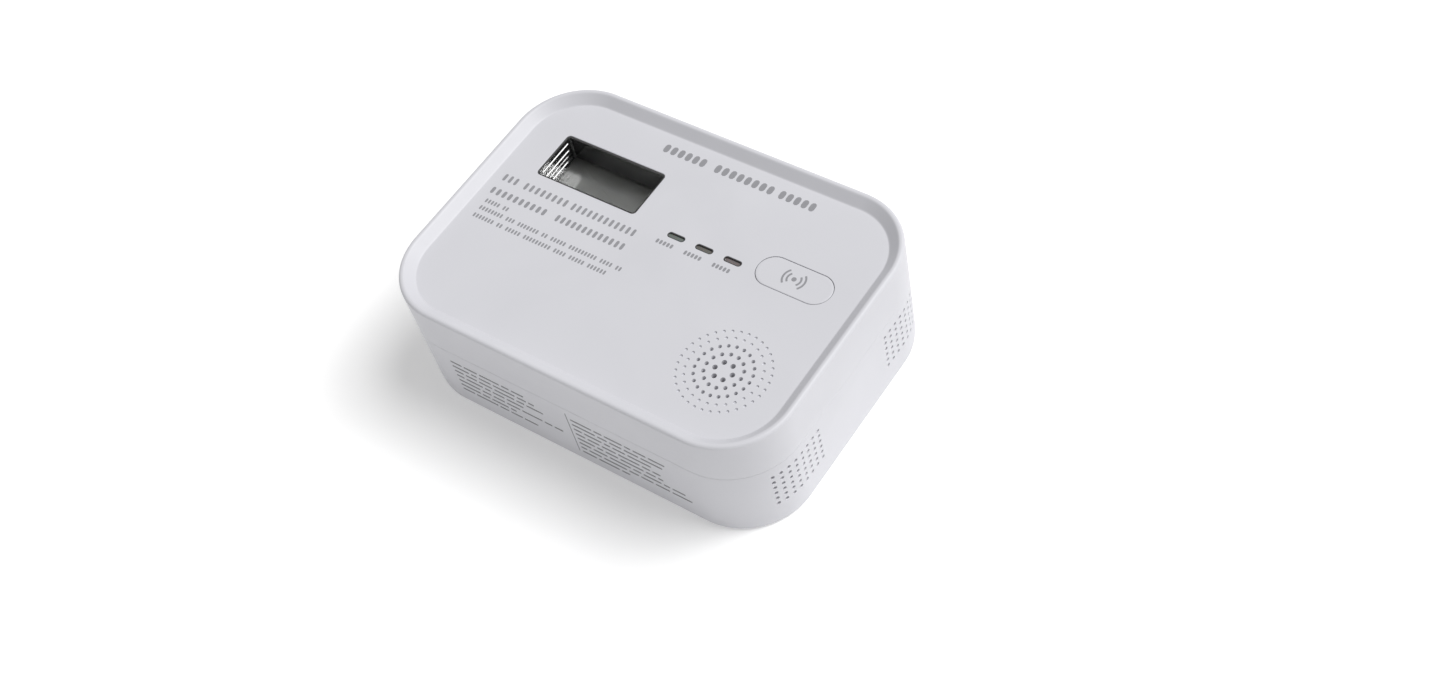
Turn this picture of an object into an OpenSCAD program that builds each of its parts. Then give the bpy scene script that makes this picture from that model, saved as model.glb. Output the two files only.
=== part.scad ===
// Battery-run carbon monoxide detector, lying on its back with its face up.
// Origin: centre of the back face. +X along the long side, +Y towards the header print, +Z out of the face.

/* [Body] */
// Length of the casing, along X
body_l = 120; // [116:1:128]
// Width of the casing, along Y
body_w = 85.4; // [85:0.1:86]
// Height of the casing, from the back face to the top of the rim
body_h = 38.8; // [38.6:0.1:39.2]
// Radius of the four upright corners, at the rim
corner_r = 19.6; // [19.4:0.1:20]
// Thickness of the casing's walls
wall_t = 2.2; // [2:0.1:2.4]
// How far each side wall leans in from the rim to the back face
side_draft = 0.3; // [0.2:0.1:0.6]
// Radius of the rounded edge round the back
back_edge_r = 1.4; // [1:0.1:1.6]
// Height of the parting line between the two halves
split_z = 24.6; // [24:0.1:24.8]

/* [Rim and panel] */
// Radius of the rim's rounded outer edge
rim_r = 1.8; // [1.6:0.1:2]
// Width of the rim, from the outer wall to the panel
rim_w = 4.3; // [4.1:0.1:4.6]
// Depth of the panel below the top of the rim
panel_depth = 2.4; // [2.2:0.1:2.6]
// Thickness of the panel and of the back
plate_t = 2; // [1.8:0.1:2.2]

/* [Display] */
// Centre of the display opening, along X
lcd_x = -28.8; // [-29:0.1:-28]
// Centre of the display opening, along Y
lcd_y = 18.4; // [18:0.1:18.8]
// Length of the display opening
lcd_l = 33.2; // [31:0.1:34]
// Width of the display opening
lcd_w = 15.2; // [14:0.1:15.6]
// Corner radius of the display opening
lcd_r = 1.2; // [0.8:0.1:1.5]
// Depth of the display well, from the panel to the lens
well_depth = 8.4; // [8.2:0.1:8.8]

/* [Indicators] */
// Place of the first indicator slot, along X
led_x = 2.3; // [2:0.1:3]
// Place of the indicator slots, along Y
led_y = 9.7; // [9.4:0.1:10]
// Distance between indicator slots
led_pitch = 8.9; // [8.5:0.1:9]
// Length of an indicator slot
slot_l = 5.4; // [5:0.1:5.8]
// Width of an indicator slot
slot_w = 1.8; // [1.6:0.1:2]

/* [Test button] */
// Centre of the button, along X
button_x = 37.6; // [37:0.1:38]
// Centre of the button, along Y
button_y = 11.7; // [11:0.1:12]
// Length of the button
button_l = 21.9; // [21:0.1:22]
// Width of the button
button_w = 9.4; // [9:0.1:9.6]
// Travel of the button
button_travel = 0.5; // [0.3:0.1:0.6]
// Gap round the button
button_gap = 0.15; // [0.1:0.05:0.2]

/* [Sounder grille] */
// Centre of the grille, along X
grille_x = 37.2; // [37:0.1:37.6]
// Centre of the grille, along Y
grille_y = -19.8; // [-20:0.1:-19.4]
// Radius of the innermost holes
grille_hole_r = 0.65; // [0.5:0.05:0.7]
// Depth of the blind dimples in the two outer rings
dimple_depth = 0.8; // [0.6:0.1:1]

/* [Side vents] */
// Radius of a vent hole
vent_r = 0.55; // [0.4:0.05:0.6]
// Height of the top row of vents
vent_z = 20.6; // [20.2:0.1:20.8]
// Distance between vent holes, along the wall
vent_pitch = 2.46; // [2.3:0.02:2.5]
// Distance between rows of vents
vent_row = 2.36; // [2.2:0.02:2.4]
// Distance along the wall from its middle to the first vent
vent_start = 15.9; // [15:0.1:16.5]

/* [Battery compartment] */
// Radius of one cell
cell_r = 7.25; // [7:0.05:7.25]
// Length of one cell with its nub
cell_l = 50.5; // [49:0.1:50.5]
// Distance between the cells' axes
cell_pitch = 15.5; // [15.2:0.1:15.7]
// Place of the cells' negative end wall, along X
bay_x = -46; // [-46.5:0.1:-45.8]
// Thickness of the battery door
door_t = 1.8; // [1.6:0.1:1.8]

/* [Wall hanging] */
// Place of the keyholes, along Y
keyhole_y = 31; // [30.5:0.5:31]
// Distance between the two keyholes
keyhole_span = 60; // [50:1:60]
// Radius of a keyhole's entry hole
keyhole_r = 3.8; // [3.5:0.1:4]
// Half the width of a keyhole's slot
keyhole_slot_r = 2.1; // [1.8:0.1:2.2]
// Distance from the entry hole to the end of the slot
keyhole_travel = 5.4; // [5:0.1:5.6]

/* [Hidden] */
$fn = 48;
eps = 0.01;
overlap = 1;

// heights of the casing
panel_z = body_h - panel_depth;
panel_under = panel_z - plate_t;
crest_z = body_h - rim_r;
lip_h = 2;
lip_gap = 0.2;
lip_t = 1;
// heights of the inside, from the display well down to the board
lens_top = panel_z - well_depth;
lens_t = 1;
glass_t = 1.1;
strip_h = 1.6;
glass_top = lens_top - lens_t;
board_top = glass_top - glass_t - strip_h;
board_t = 1.6;
board_under = board_top - board_t;
// outline of the board
board_lo = [-50, -5];
board_hi = [51, 28.2];
// casing screws, along the corners
case_screw_at = [49.5, 32];
case_boss_r = 3.4;
case_web_z = 14;
case_web_t = 2;
case_head_r = 2.4;
case_shank_r = 1.3;
// screws that hold the board under the panel
board_screw_at = [[-48, -2], [48, -2], [6, 25], [46, 25]];
board_boss_r = 2.6;
board_shank_r = 1;
screw_gap = 0.05;
// battery bay
bay_wall = 1.6;
bay_l = 58;
bay_half_w = 1.5 * cell_pitch + 0.25;
bay_top = door_t + 0.5 + 2 * cell_r + 0.8;
cell_z = door_t + 0.5 + cell_r;
contact_t = 0.4;
spring_room = 5;
nub_r = 2.6;
nub_l = 1.5;
// battery door and its hinge
hinge_x = bay_x - 3;
hinge_r = 1.6;
hinge_pin_r = 0.9;
hinge_clear = 0.05;
door_gap = 0.3;
door_out = hinge_x - hinge_r - door_gap;
door_half_w = bay_half_w + bay_wall + 0.6;
door_end = bay_x + bay_l + bay_wall - 0.2;
pin_reach = 1.8;
tray_wall = 1.2;
tray_top = 2 * hinge_r + door_gap + tray_wall;
// rating label on the back and its seat
label_lo = [20, -21];
label_hi = [54, 21];
label_seat = 0.3;
label_t = 0.18;
label_gap = 0.3;
// sounder behind the grille
sounder_r = 11.9;
sounder_wall = 1;
sounder_h = 8.4;
gasket_t = 0.7;
holder_r = 13.3;
// sensor cell under the board
sensor_at = [27.5, 14];
sensor_r = 10;
sensor_h = 14.2;
pin_circle = 6.5;
// rings of the grille: radius, number of holes, and a hole's radius as a share of the innermost
ring_r = [2.6, 5.1, 7.6, 10, 12.1];
ring_count = [6, 14, 22, 27, 35];
ring_hole = [1, 0.77, 0.65, 0.62, 0.62];
open_rings = 3;

function corner_x() = body_l / 2 - corner_r;
function corner_y() = body_w / 2 - corner_r;
// distance of the outer wall from the corner's centre, at height z
function wall_at(z) = corner_r - side_draft * (crest_z - z) / crest_z;
// points of a quarter arc of radius r about c, from angle a0 to a1
function arc_points(c, r, a0, a1, n = 8) =
    [for (i = [0:n]) c + r * [cos(a0 + (a1 - a0) * i / n), sin(a0 + (a1 - a0) * i / n)]];

// a round-cornered rectangle, flat
module round_rect(l, w, r) {
    square([l - 2 * r, w], center = true);
    square([l, w - 2 * r], center = true);
    for (x = [-1, 1], y = [-1, 1])
        translate([x * (l / 2 - r), y * (w / 2 - r)])
            circle(r);
}

// a plate with round corners, from z0 to z1
module round_plate(l, w, r, z0, z1) {
    translate([0, 0, z0])
        linear_extrude(height = z1 - z0)
            round_rect(l, w, r);
}

// a stadium-shaped plate
module stadium(l, w, z0, z1) {
    translate([0, 0, z0])
        linear_extrude(height = z1 - z0) {
            square([l - w, w], center = true);
            for (x = [-1, 1])
                translate([x * (l - w) / 2, 0])
                    circle(w / 2);
        }
}

// a box between two corners
module box(lo, hi) {
    translate(lo)
        cube(hi - lo);
}

// a cylinder from z0 to z1
module post(r, z0, z1) {
    translate([0, 0, z0])
        cylinder(r = r, h = z1 - z0);
}

// sweeps a wall profile once round the casing: profile x counts from the corner's centre, y is height
module sweep_round() {
    for (mx = [0, 1], my = [0, 1])
        mirror([mx, 0, 0])
            mirror([0, my, 0])
                translate([corner_x(), corner_y(), 0])
                    rotate_extrude(angle = 90, $fn = 96)
                        children();
    for (mx = [0, 1])
        mirror([mx, 0, 0])
            translate([corner_x(), corner_y(), 0])
                rotate([90, 0, 0])
                    linear_extrude(height = 2 * corner_y())
                        children();
    for (my = [0, 1])
        mirror([0, my, 0])
            translate([-corner_x(), corner_y(), 0])
                rotate([90, 0, 90])
                    linear_extrude(height = 2 * corner_x())
                        children();
}

// places children at the four corner screws
module at_case_screws() {
    for (x = [-1, 1], y = [-1, 1])
        translate([x * case_screw_at.x, y * case_screw_at.y, 0])
            children();
}

// places children at the board's screws
module at_board_screws() {
    for (p = board_screw_at)
        translate([p.x, p.y, 0])
            children();
}

// wall and rim of the front cover, as a profile
module front_profile() {
    inner = corner_r - wall_t;
    plate_in = corner_r - rim_w - 3;
    polygon(concat(
        [[wall_at(split_z), split_z]],
        arc_points([corner_r - rim_r, crest_z], rim_r, 0, 90),
        [[corner_r - rim_w, panel_z], [plate_in, panel_z], [plate_in, panel_under]],
        [[inner - 1.5, panel_under], [inner, panel_under - 1.5]],
        [[inner, split_z + lip_h + lip_gap], [wall_at(split_z) - lip_t + lip_gap, split_z + lip_h + lip_gap]],
        [[wall_at(split_z) - lip_t + lip_gap, split_z]]
    ));
}

// wall and foot of the rear housing, as a profile
module rear_profile() {
    foot = wall_at(0) - back_edge_r;
    tongue = wall_at(split_z) - lip_t;
    polygon(concat(
        arc_points([foot, back_edge_r], back_edge_r, -90, 0, 5),
        [[wall_at(split_z), split_z], [tongue, split_z], [tongue, split_z + lip_h]],
        [[wall_at(split_z + lip_h) - wall_t, split_z + lip_h], [wall_at(plate_t) - wall_t, plate_t]],
        [[foot - 4, plate_t], [foot - 4, 0]]
    ));
}

// the holes of one ring of the grille
module grille_ring(i, z0, z1) {
    for (k = [0:ring_count[i] - 1])
        rotate([0, 0, k * 360 / ring_count[i]])
            translate([ring_r[i], 0, 0])
                post(grille_hole_r * ring_hole[i], z0, z1, $fn = 24);
}

// rows of vents: eight columns from the side's middle round the corner
module vent_cutters() {
    straight = corner_y();
    for (mx = [0, 1], my = [0, 1])
        mirror([mx, 0, 0])
            mirror([0, my, 0])
                for (c = [0:7]) {
                    s = vent_start + c * vent_pitch;
                    turn = s > straight ? (s - straight) / corner_r * 180 / PI : 0;
                    y = s > straight ? straight : s;
                    translate([corner_x(), y, 0])
                        rotate([0, 0, turn])
                            for (k = [0:5])
                                translate([corner_r - wall_t - 0.8, 0, vent_z - k * vent_row])
                                    rotate([0, 90, 0])
                                        cylinder(r = vent_r, h = wall_t + 2, $fn = 16);
                }
}

// cut for one keyhole: an entry hole with a slot towards +Y
module keyhole_cutter() {
    post(keyhole_r, -1, plate_t + 1);
    translate([0, keyhole_travel, 0])
        post(keyhole_slot_r, -1, plate_t + 1);
    box([-keyhole_slot_r, 0, -1], [keyhole_slot_r, keyhole_travel, plate_t + 1]);
}

module front_cover() {
    color("whitesmoke")
    difference() {
        union() {
            sweep_round()
                front_profile();
            inset = rim_w + 2;
            round_plate(body_l - 2 * inset, body_w - 2 * inset, corner_r - inset, panel_under, panel_z);
            at_case_screws()
                post(case_boss_r, case_web_z + case_web_t + 6.2, panel_under + overlap);
            at_board_screws()
                post(board_boss_r, board_top, panel_under + overlap);
            // round wall that holds the sounder
            translate([grille_x, grille_y, 0])
                difference() {
                    post(holder_r, panel_under - 5, panel_under + overlap);
                    post(sounder_r + 0.2, panel_under - 6, panel_under);
                }
        }
        translate([lcd_x, lcd_y, 0])
            round_plate(lcd_l, lcd_w, lcd_r, panel_under - 1, panel_z + 1);
        for (i = [0:2])
            translate([led_x + i * led_pitch, led_y, 0])
                stadium(slot_l, slot_w, panel_under - 1, panel_z + 1);
        translate([button_x, button_y, 0])
            stadium(button_l + 2 * button_gap, button_w + 2 * button_gap, panel_under - 1, panel_z + 1);
        translate([grille_x, grille_y, 0]) {
            for (i = [0:open_rings - 1])
                grille_ring(i, panel_under - 1, panel_z + 1);
            for (i = [open_rings:len(ring_count) - 1])
                grille_ring(i, panel_z - dimple_depth, panel_z + 1);
        }
        at_case_screws()
            post(case_shank_r + screw_gap, case_web_z, panel_under - 3);
        at_board_screws()
            post(board_shank_r + screw_gap, board_top - 1, panel_under - 2);
    }
}

module rear_housing() {
    color("whitesmoke")
    difference() {
        union() {
            sweep_round()
                rear_profile();
            inset = side_draft + back_edge_r + 2;
            round_plate(body_l - 2 * inset, body_w - 2 * inset, corner_r - inset, 0, plate_t);
            at_case_screws()
                post(case_boss_r, plate_t - overlap, case_web_z + case_web_t + 6);
            // raised tray that joins the battery bay to the back, round the door
            box([door_out - tray_wall, -door_half_w - door_gap - tray_wall, plate_t - overlap],
                [door_end + door_gap + tray_wall, door_half_w + door_gap + tray_wall, tray_top]);
            // battery bay, closed on top
            box([bay_x - bay_wall, -bay_half_w - bay_wall, plate_t - overlap],
                [bay_x + bay_l + bay_wall, bay_half_w + bay_wall, bay_top + bay_wall]);
            // bearing blocks for the door's pins
            for (m = [0, 1])
                mirror([0, m, 0])
                    box([hinge_x - 2.2, door_half_w + door_gap - 1, plate_t - overlap],
                        [hinge_x + 2.2, door_half_w + door_gap + pin_reach + 0.4, tray_top - 0.4]);
        }
        // inside of the battery bay
        box([bay_x, -bay_half_w, -1], [bay_x + bay_l, bay_half_w, bay_top]);
        // opening for the door
        box([door_out, -door_half_w - door_gap, -1],
            [door_end + door_gap, door_half_w + door_gap, door_t + 0.2]);
        // room for the hinge barrel
        box([door_out, -door_half_w - door_gap, -1],
            [hinge_x + hinge_r + door_gap, door_half_w + door_gap, 2 * hinge_r + door_gap]);
        for (m = [0, 1])
            mirror([0, m, 0])
                translate([hinge_x, door_half_w + door_gap - 1, hinge_r])
                    rotate([-90, 0, 0])
                        cylinder(r = hinge_pin_r + hinge_clear, h = pin_reach + 1.1);
        // thumb notch beside the door's free end
        translate([door_end + door_gap + 1, 0, -5.6])
            rotate([90, 0, 0])
                cylinder(r = 7, h = 14, center = true);
        at_case_screws() {
            post(case_head_r + 0.2, -1, case_web_z);
            post(case_shank_r + 0.3, case_web_z - 1, case_web_z + case_web_t + 7);
        }
        for (x = [-1, 1])
            translate([x * keyhole_span / 2, keyhole_y, 0])
                keyhole_cutter();
        vent_cutters();
        // shallow seat for the rating label
        box([label_lo.x, label_lo.y, -1], [label_hi.x, label_hi.y, label_seat]);
    }
}

module battery_door() {
    barrel_half = door_half_w;
    color("gainsboro")
    difference() {
        union() {
            box([hinge_x, -door_half_w, 0], [door_end, door_half_w, door_t]);
            translate([hinge_x, 0, hinge_r])
                rotate([90, 0, 0]) {
                    cylinder(r = hinge_r, h = 2 * barrel_half, center = true);
                    cylinder(r = hinge_pin_r, h = 2 * (barrel_half + door_gap + pin_reach - 0.2), center = true);
                }
            // stiffening ribs between the cells
            for (y = [-1, 1])
                box([bay_x + 3, y * cell_pitch / 2 - 0.5, door_t - eps],
                    [bay_x + bay_l - 4, y * cell_pitch / 2 + 0.5, door_t + 2]);
        }
        // grip grooves at the free end
        for (i = [0:3])
            box([door_end - 9 + i * 1.8, -7, -1], [door_end - 8.2 + i * 1.8, 7, 0.4]);
    }
}

module case_screws() {
    color("silver")
    at_case_screws()
        difference() {
            union() {
                post(case_head_r, case_web_z - 1.8, case_web_z);
                post(case_shank_r, case_web_z - eps, case_web_z + 13);
            }
            for (a = [0, 90])
                rotate([0, 0, a])
                    box([-1.5, -0.3, case_web_z - 2.8], [1.5, 0.3, case_web_z - 0.8]);
        }
}

module lcd_frame() {
    shroud = 0.5;
    flange_l = lcd_l + 6;
    flange_w = lcd_w + 4.4;
    color([0.05, 0.05, 0.06])
    translate([lcd_x, lcd_y, 0]) {
        difference() {
            union() {
                round_plate(lcd_l - 0.1, lcd_w - 0.1, lcd_r - 0.05, lens_top, panel_z - 0.2);
                round_plate(flange_l, flange_w, 1.5, board_top + 0.02, lens_top + 1.6);
            }
            round_plate(lcd_l - 2 * shroud, lcd_w - 2 * shroud, lcd_r - shroud, board_top - 1, panel_z + 1);
            // seat of the lens and the display glass
            round_plate(lcd_l + 3.2, lcd_w + 2.2, 0.5, board_top - 1, lens_top);
        }
        // raised ribs across the well's short walls
        for (m = [0, 1], d = [2.5, 5.1, 6.5])
            mirror([m, 0, 0])
                box([-lcd_l / 2 + shroud - 0.1, -lcd_w / 2 + 1.2, panel_z - d - 0.2],
                    [-lcd_l / 2 + shroud + 0.25, lcd_w / 2 - 1.2, panel_z - d + 0.2]);
    }
}

module lcd_lens() {
    color([0.8, 0.85, 0.9, 0.35])
    translate([lcd_x, lcd_y, 0])
        round_plate(lcd_l + 3, lcd_w + 2, 0.4, glass_top + 0.02, lens_top - 0.02);
}

module lcd_glass() {
    color([0.32, 0.33, 0.32])
    translate([lcd_x, lcd_y, 0])
        round_plate(lcd_l + 2.8, lcd_w + 1.8, 0.3, glass_top - glass_t, glass_top);
}

module zebra_strips() {
    color([0.75, 0.5, 0.55])
    for (y = [-1, 1])
        translate([lcd_x, lcd_y + y * (lcd_w / 2 - 0.6), 0])
            box([-15, -0.9, board_top + 0.02], [15, 0.9, glass_top - glass_t - 0.02]);
}

// a clear pipe from a slot in the panel down to a lamp on the board
module light_pipe(i) {
    translate([led_x + i * led_pitch, led_y, 0]) {
        stadium(slot_l - 0.2, slot_w - 0.2, panel_under - 1, panel_z - 0.5);
        stadium(slot_l + 1.2, slot_w + 1, panel_under - 1, panel_under - 0.05);
        post(1.2, board_top + 3, panel_under - 1 + eps);
    }
}

module light_pipe_power() {
    color([0.55, 0.75, 0.58])
    light_pipe(0);
}

module light_pipe_fault() {
    color([0.8, 0.72, 0.45])
    light_pipe(1);
}

module light_pipe_alarm() {
    color([0.8, 0.45, 0.42])
    light_pipe(2);
}

// a small lamp on the board, below its light pipe
module lamp(i) {
    translate([led_x + i * led_pitch, led_y, 0]) {
        box([-1.6, -1.2, board_top + 0.02], [1.6, 1.2, board_top + 1.3]);
        post(0.95, board_top + 1.3 - eps, board_top + 1.9);
        translate([0, 0, board_top + 1.9])
            sphere(r = 0.95, $fn = 24);
    }
}

module led_power() {
    color("palegreen")
    lamp(0);
}

module led_fault() {
    color("khaki")
    lamp(1);
}

module led_alarm() {
    color("lightcoral")
    lamp(2);
}

module test_button() {
    color("white")
    translate([button_x, button_y, 0]) {
        stadium(button_l, button_w, panel_under - 1, panel_z);
        stadium(button_l + 2.4, button_w + 2.4, panel_under - 1.3, panel_under - 0.05);
        post(1.6, board_top + 5.1, panel_under - 1);
    }
}

module tact_switch_body() {
    color([0.15, 0.15, 0.16])
    translate([button_x, button_y, 0])
        difference() {
            box([-3, -3, board_top + 0.02], [3, 3, board_top + 3.6]);
            post(1.7, board_top + 1.4, board_top + 4);
        }
}

module tact_switch_plunger() {
    color("dimgray")
    translate([button_x, button_y, 0])
        post(1.63, board_top + 2.1, board_top + 5.08);
}

module main_board() {
    color("darkgreen")
    difference() {
        box([board_lo.x, board_lo.y, board_under], [board_hi.x, board_hi.y, board_top]);
        at_board_screws()
            post(board_shank_r + 0.25, board_under - 1, board_top + 1);
        translate([sensor_at.x, sensor_at.y, 0])
            for (a = [30, 150, 270])
                rotate([0, 0, a])
                    translate([pin_circle, 0, 0])
                        post(0.75, board_under - 1, board_top + 1, $fn = 24);
    }
}

module board_screws() {
    color("silver")
    at_board_screws() {
        post(2, board_under - 1.5, board_under - 0.02);
        post(board_shank_r, board_under - 0.5, board_top + 6);
    }
}

module microcontroller() {
    color([0.1, 0.1, 0.11])
    translate([-28, 1, 0]) {
        box([-4, -4, board_top + 0.15], [4, 4, board_top + 1.5]);
        for (a = [0:90:270])
            rotate([0, 0, a])
                for (i = [-3.5:1:3.5])
                    box([3.9, i - 0.2, board_top + 0.02], [5, i + 0.2, board_top + 0.6]);
    }
}

module boost_coil() {
    color([0.2, 0.2, 0.22])
    translate([-10, 0, 0]) {
        post(4, board_top + 0.02, board_top + 1);
        post(2.8, board_top + 1 - eps, board_top + 4);
        post(4, board_top + 4 - eps, board_top + 5);
    }
}

module buffer_capacitor() {
    color([0.25, 0.3, 0.55])
    translate([1, -0.5, 0]) {
        post(3.1, board_top + 0.8, board_top + 7.5);
        box([-3.3, -3.3, board_top + 0.02], [3.3, 3.3, board_top + 0.81]);
    }
}

module chip_resistors() {
    color([0.2, 0.2, 0.2])
    for (i = [0:5], j = [0:1])
        translate([11 + i * 3, -2.5 + j * 3.4, 0])
            box([-0.6, -1, board_top + 0.02], [0.6, 1, board_top + 0.6]);
}

module sounder_case() {
    top = panel_under - gasket_t - 0.02;
    color([0.08, 0.08, 0.09])
    translate([grille_x, grille_y, 0])
        difference() {
            post(sounder_r, top - sounder_h, top);
            post(sounder_r - sounder_wall, top - sounder_h - 1, top - 1.2);
            post(7.9, top - 2, top + 1);
        }
}

module sounder_gasket() {
    color([0.3, 0.3, 0.32])
    translate([grille_x, grille_y, 0])
        difference() {
            post(sounder_r, panel_under - gasket_t, panel_under - 0.02);
            post(sounder_r - 2.4, panel_under - gasket_t - 1, panel_under + 1);
        }
}

module piezo_disc() {
    z = panel_under - gasket_t - 6;
    color("goldenrod")
    translate([grille_x, grille_y, 0])
        post(sounder_r - sounder_wall - 0.05, z, z + 0.3);
}

module piezo_ceramic() {
    z = panel_under - gasket_t - 6;
    color("ivory")
    translate([grille_x, grille_y, 0])
        post(7, z - 0.25, z - 0.01);
}

// a thin wire: straight lengths with a slightly wider ball at each bend
module wire(points, r) {
    for (i = [0:len(points) - 2]) {
        run = points[i + 1] - points[i];
        len_run = norm(run);
        translate(points[i])
            rotate([0, acos(run.z / len_run), atan2(run.y, run.x)])
                cylinder(r = r, h = len_run, $fn = 16);
        if (i > 0)
            translate(points[i])
                sphere(r = r * 1.15, $fn = 16);
    }
}

module sounder_leads() {
    z = board_top + 0.5;
    color("firebrick")
    for (x = [-3, 3])
        wire([[grille_x + x, grille_y + 2, z + 2], [grille_x + x, grille_y + 2, z], [grille_x + x, -3, z]], 0.3);
}

module co_sensor_can() {
    color("lightgray")
    translate([sensor_at.x, sensor_at.y, 0])
        post(sensor_r, board_under - 0.6 - sensor_h, board_under - 0.6);
}

module co_sensor_cap() {
    z = board_under - 0.6 - sensor_h;
    color([0.25, 0.25, 0.27])
    translate([sensor_at.x, sensor_at.y, 0])
        difference() {
            post(sensor_r - 1, z - 1.6, z - 0.02);
            post(5, z - 2, z + 1);
        }
}

module sensor_filter() {
    z = board_under - 0.6 - sensor_h;
    color("white")
    translate([sensor_at.x, sensor_at.y, 0])
        post(4.95, z - 1, z - 0.02);
}

module sensor_pins() {
    color("gold")
    translate([sensor_at.x, sensor_at.y, 0])
        for (a = [30, 150, 270])
            rotate([0, 0, a])
                translate([pin_circle, 0, 0])
                    post(0.6, board_under - 0.58, board_top + 1, $fn = 24);
}

// one cell along X: turn = 1 puts the nub at the -X end
module cell(i, turn) {
    x0 = bay_x + contact_t + (turn ? 0.02 : spring_room);
    translate([x0 + cell_l / 2, (i - 1) * cell_pitch, cell_z])
        mirror([turn, 0, 0])
            rotate([0, 90, 0]) {
                post(cell_r, -cell_l / 2, cell_l / 2 - nub_l);
                post(nub_r, cell_l / 2 - nub_l - eps, cell_l / 2);
            }
}

module battery_1() {
    color("slategray")
    cell(0, 0);
}

module battery_2() {
    color("slategray")
    cell(1, 1);
}

module battery_3() {
    color("slategray")
    cell(2, 0);
}

// points of a wire ring at step k of a coil spring along X
function coil_point(k, steps, turns, r, len) =
    let (t = k / steps) [len * t, r * (1 - 0.35 * t) * cos(360 * turns * t), r * (1 - 0.35 * t) * sin(360 * turns * t)];
function coil_ring(k, steps, turns, r, len, wire_r, sides) =
    let (c = coil_point(k, steps, turns, r, len), a = 360 * turns * k / steps)
    [for (j = [0:sides - 1]) let (b = 360 * j / sides)
        c + wire_r * (cos(b) * [0, cos(a), sin(a)] + sin(b) * [1, 0, 0])];

// a conical coil spring whose wide end stands at x = 0
module coil_spring(len, r, turns, wire_r) {
    steps = 12 * turns;
    sides = 6;
    rings = [for (k = [0:steps]) coil_ring(k, steps, turns, r, len, wire_r, sides)];
    points = [for (ring = rings) for (p = ring) p];
    faces = concat(
        [[for (j = [0:sides - 1]) j]],
        [for (k = [0:steps - 1], j = [0:sides - 1])
            [k * sides + j, (k + 1) * sides + j, (k + 1) * sides + (j + 1) % sides, k * sides + (j + 1) % sides]],
        [[for (j = [sides - 1:-1:0]) steps * sides + j]]
    );
    polyhedron(points, faces, convexity = 6);
}

module battery_springs() {
    spring_len = 4.1;
    color("silver")
    for (i = [0:2])
        translate([i == 1 ? bay_x + bay_l - contact_t - 0.4 : bay_x + contact_t + 0.4,
            (i - 1) * cell_pitch, cell_z])
            mirror([i == 1 ? 1 : 0, 0, 0])
                coil_spring(spring_len, 4.4, 4, 0.35);
}

module battery_contacts() {
    color("silver")
    for (i = [0:2], e = [0, 1])
        translate([e ? bay_x + bay_l - contact_t : bay_x, (i - 1) * cell_pitch, cell_z])
            box([0, -5.5, -6], [contact_t, 5.5, 6]);
}

module battery_leads() {
    y = bay_half_w + bay_wall + 1.2;
    x = bay_x + bay_l + bay_wall + 1.4;
    color("black")
    for (k = [0, 1])
        wire([[x + k * 1.6, y - 10, 8], [x + k * 1.6, y - 10, bay_top - 1],
            [x + k * 1.6, -12, bay_top - 1], [x + k * 1.6, -3, board_under - 0.5]], 0.5);
}

module rating_label() {
    color("white")
    box([label_lo.x + label_gap, label_lo.y + label_gap, label_seat - label_t - 0.02],
        [label_hi.x - label_gap, label_hi.y - label_gap, label_seat - 0.02]);
}

front_cover();
rear_housing();
battery_door();
case_screws();
lcd_frame();
lcd_lens();
lcd_glass();
zebra_strips();
light_pipe_power();
light_pipe_fault();
light_pipe_alarm();
led_power();
led_fault();
led_alarm();
test_button();
tact_switch_body();
tact_switch_plunger();
main_board();
board_screws();
microcontroller();
boost_coil();
buffer_capacitor();
chip_resistors();
sounder_case();
sounder_gasket();
piezo_disc();
piezo_ceramic();
sounder_leads();
co_sensor_can();
co_sensor_cap();
sensor_filter();
sensor_pins();
battery_1();
battery_2();
battery_3();
battery_springs();
battery_contacts();
battery_leads();
rating_label();
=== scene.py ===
"""Looks of the carbon monoxide detector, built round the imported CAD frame.

Sizes are in millimetres unless a name says otherwise, and the helpers turn them into metres.
"""

import math

import bmesh
import bpy
from mathutils import Matrix, Vector


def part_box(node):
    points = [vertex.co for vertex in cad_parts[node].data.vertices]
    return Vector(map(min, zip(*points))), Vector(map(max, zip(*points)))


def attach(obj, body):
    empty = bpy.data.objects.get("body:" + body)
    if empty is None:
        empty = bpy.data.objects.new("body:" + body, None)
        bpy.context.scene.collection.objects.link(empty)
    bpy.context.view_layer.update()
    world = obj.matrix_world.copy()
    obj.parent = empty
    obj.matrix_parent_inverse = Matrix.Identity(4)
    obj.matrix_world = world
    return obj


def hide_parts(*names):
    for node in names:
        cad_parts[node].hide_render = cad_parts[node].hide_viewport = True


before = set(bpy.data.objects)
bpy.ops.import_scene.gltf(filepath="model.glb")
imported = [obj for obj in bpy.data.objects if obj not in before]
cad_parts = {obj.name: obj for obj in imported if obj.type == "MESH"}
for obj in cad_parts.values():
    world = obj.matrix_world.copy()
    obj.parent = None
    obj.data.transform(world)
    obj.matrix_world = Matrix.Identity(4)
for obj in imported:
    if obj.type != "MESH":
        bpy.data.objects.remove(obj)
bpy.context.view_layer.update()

MM = 0.001
WELD = 0.004
# how far a solid runs into one that it is joined to or cut from
LAP = 1.0
SMOOTH_ANGLE = math.radians(38)

# ---------------------------------------------------------------- sizes, from the frame


def box_mm(node):
    """Lowest and highest corner of a CAD node, in millimetres."""
    low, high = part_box(node)
    return Vector(low) / MM, Vector(high) / MM


def centre_of(node):
    """Centre of a CAD node's box, in millimetres."""
    low, high = box_mm(node)
    return (low + high) / 2


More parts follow.
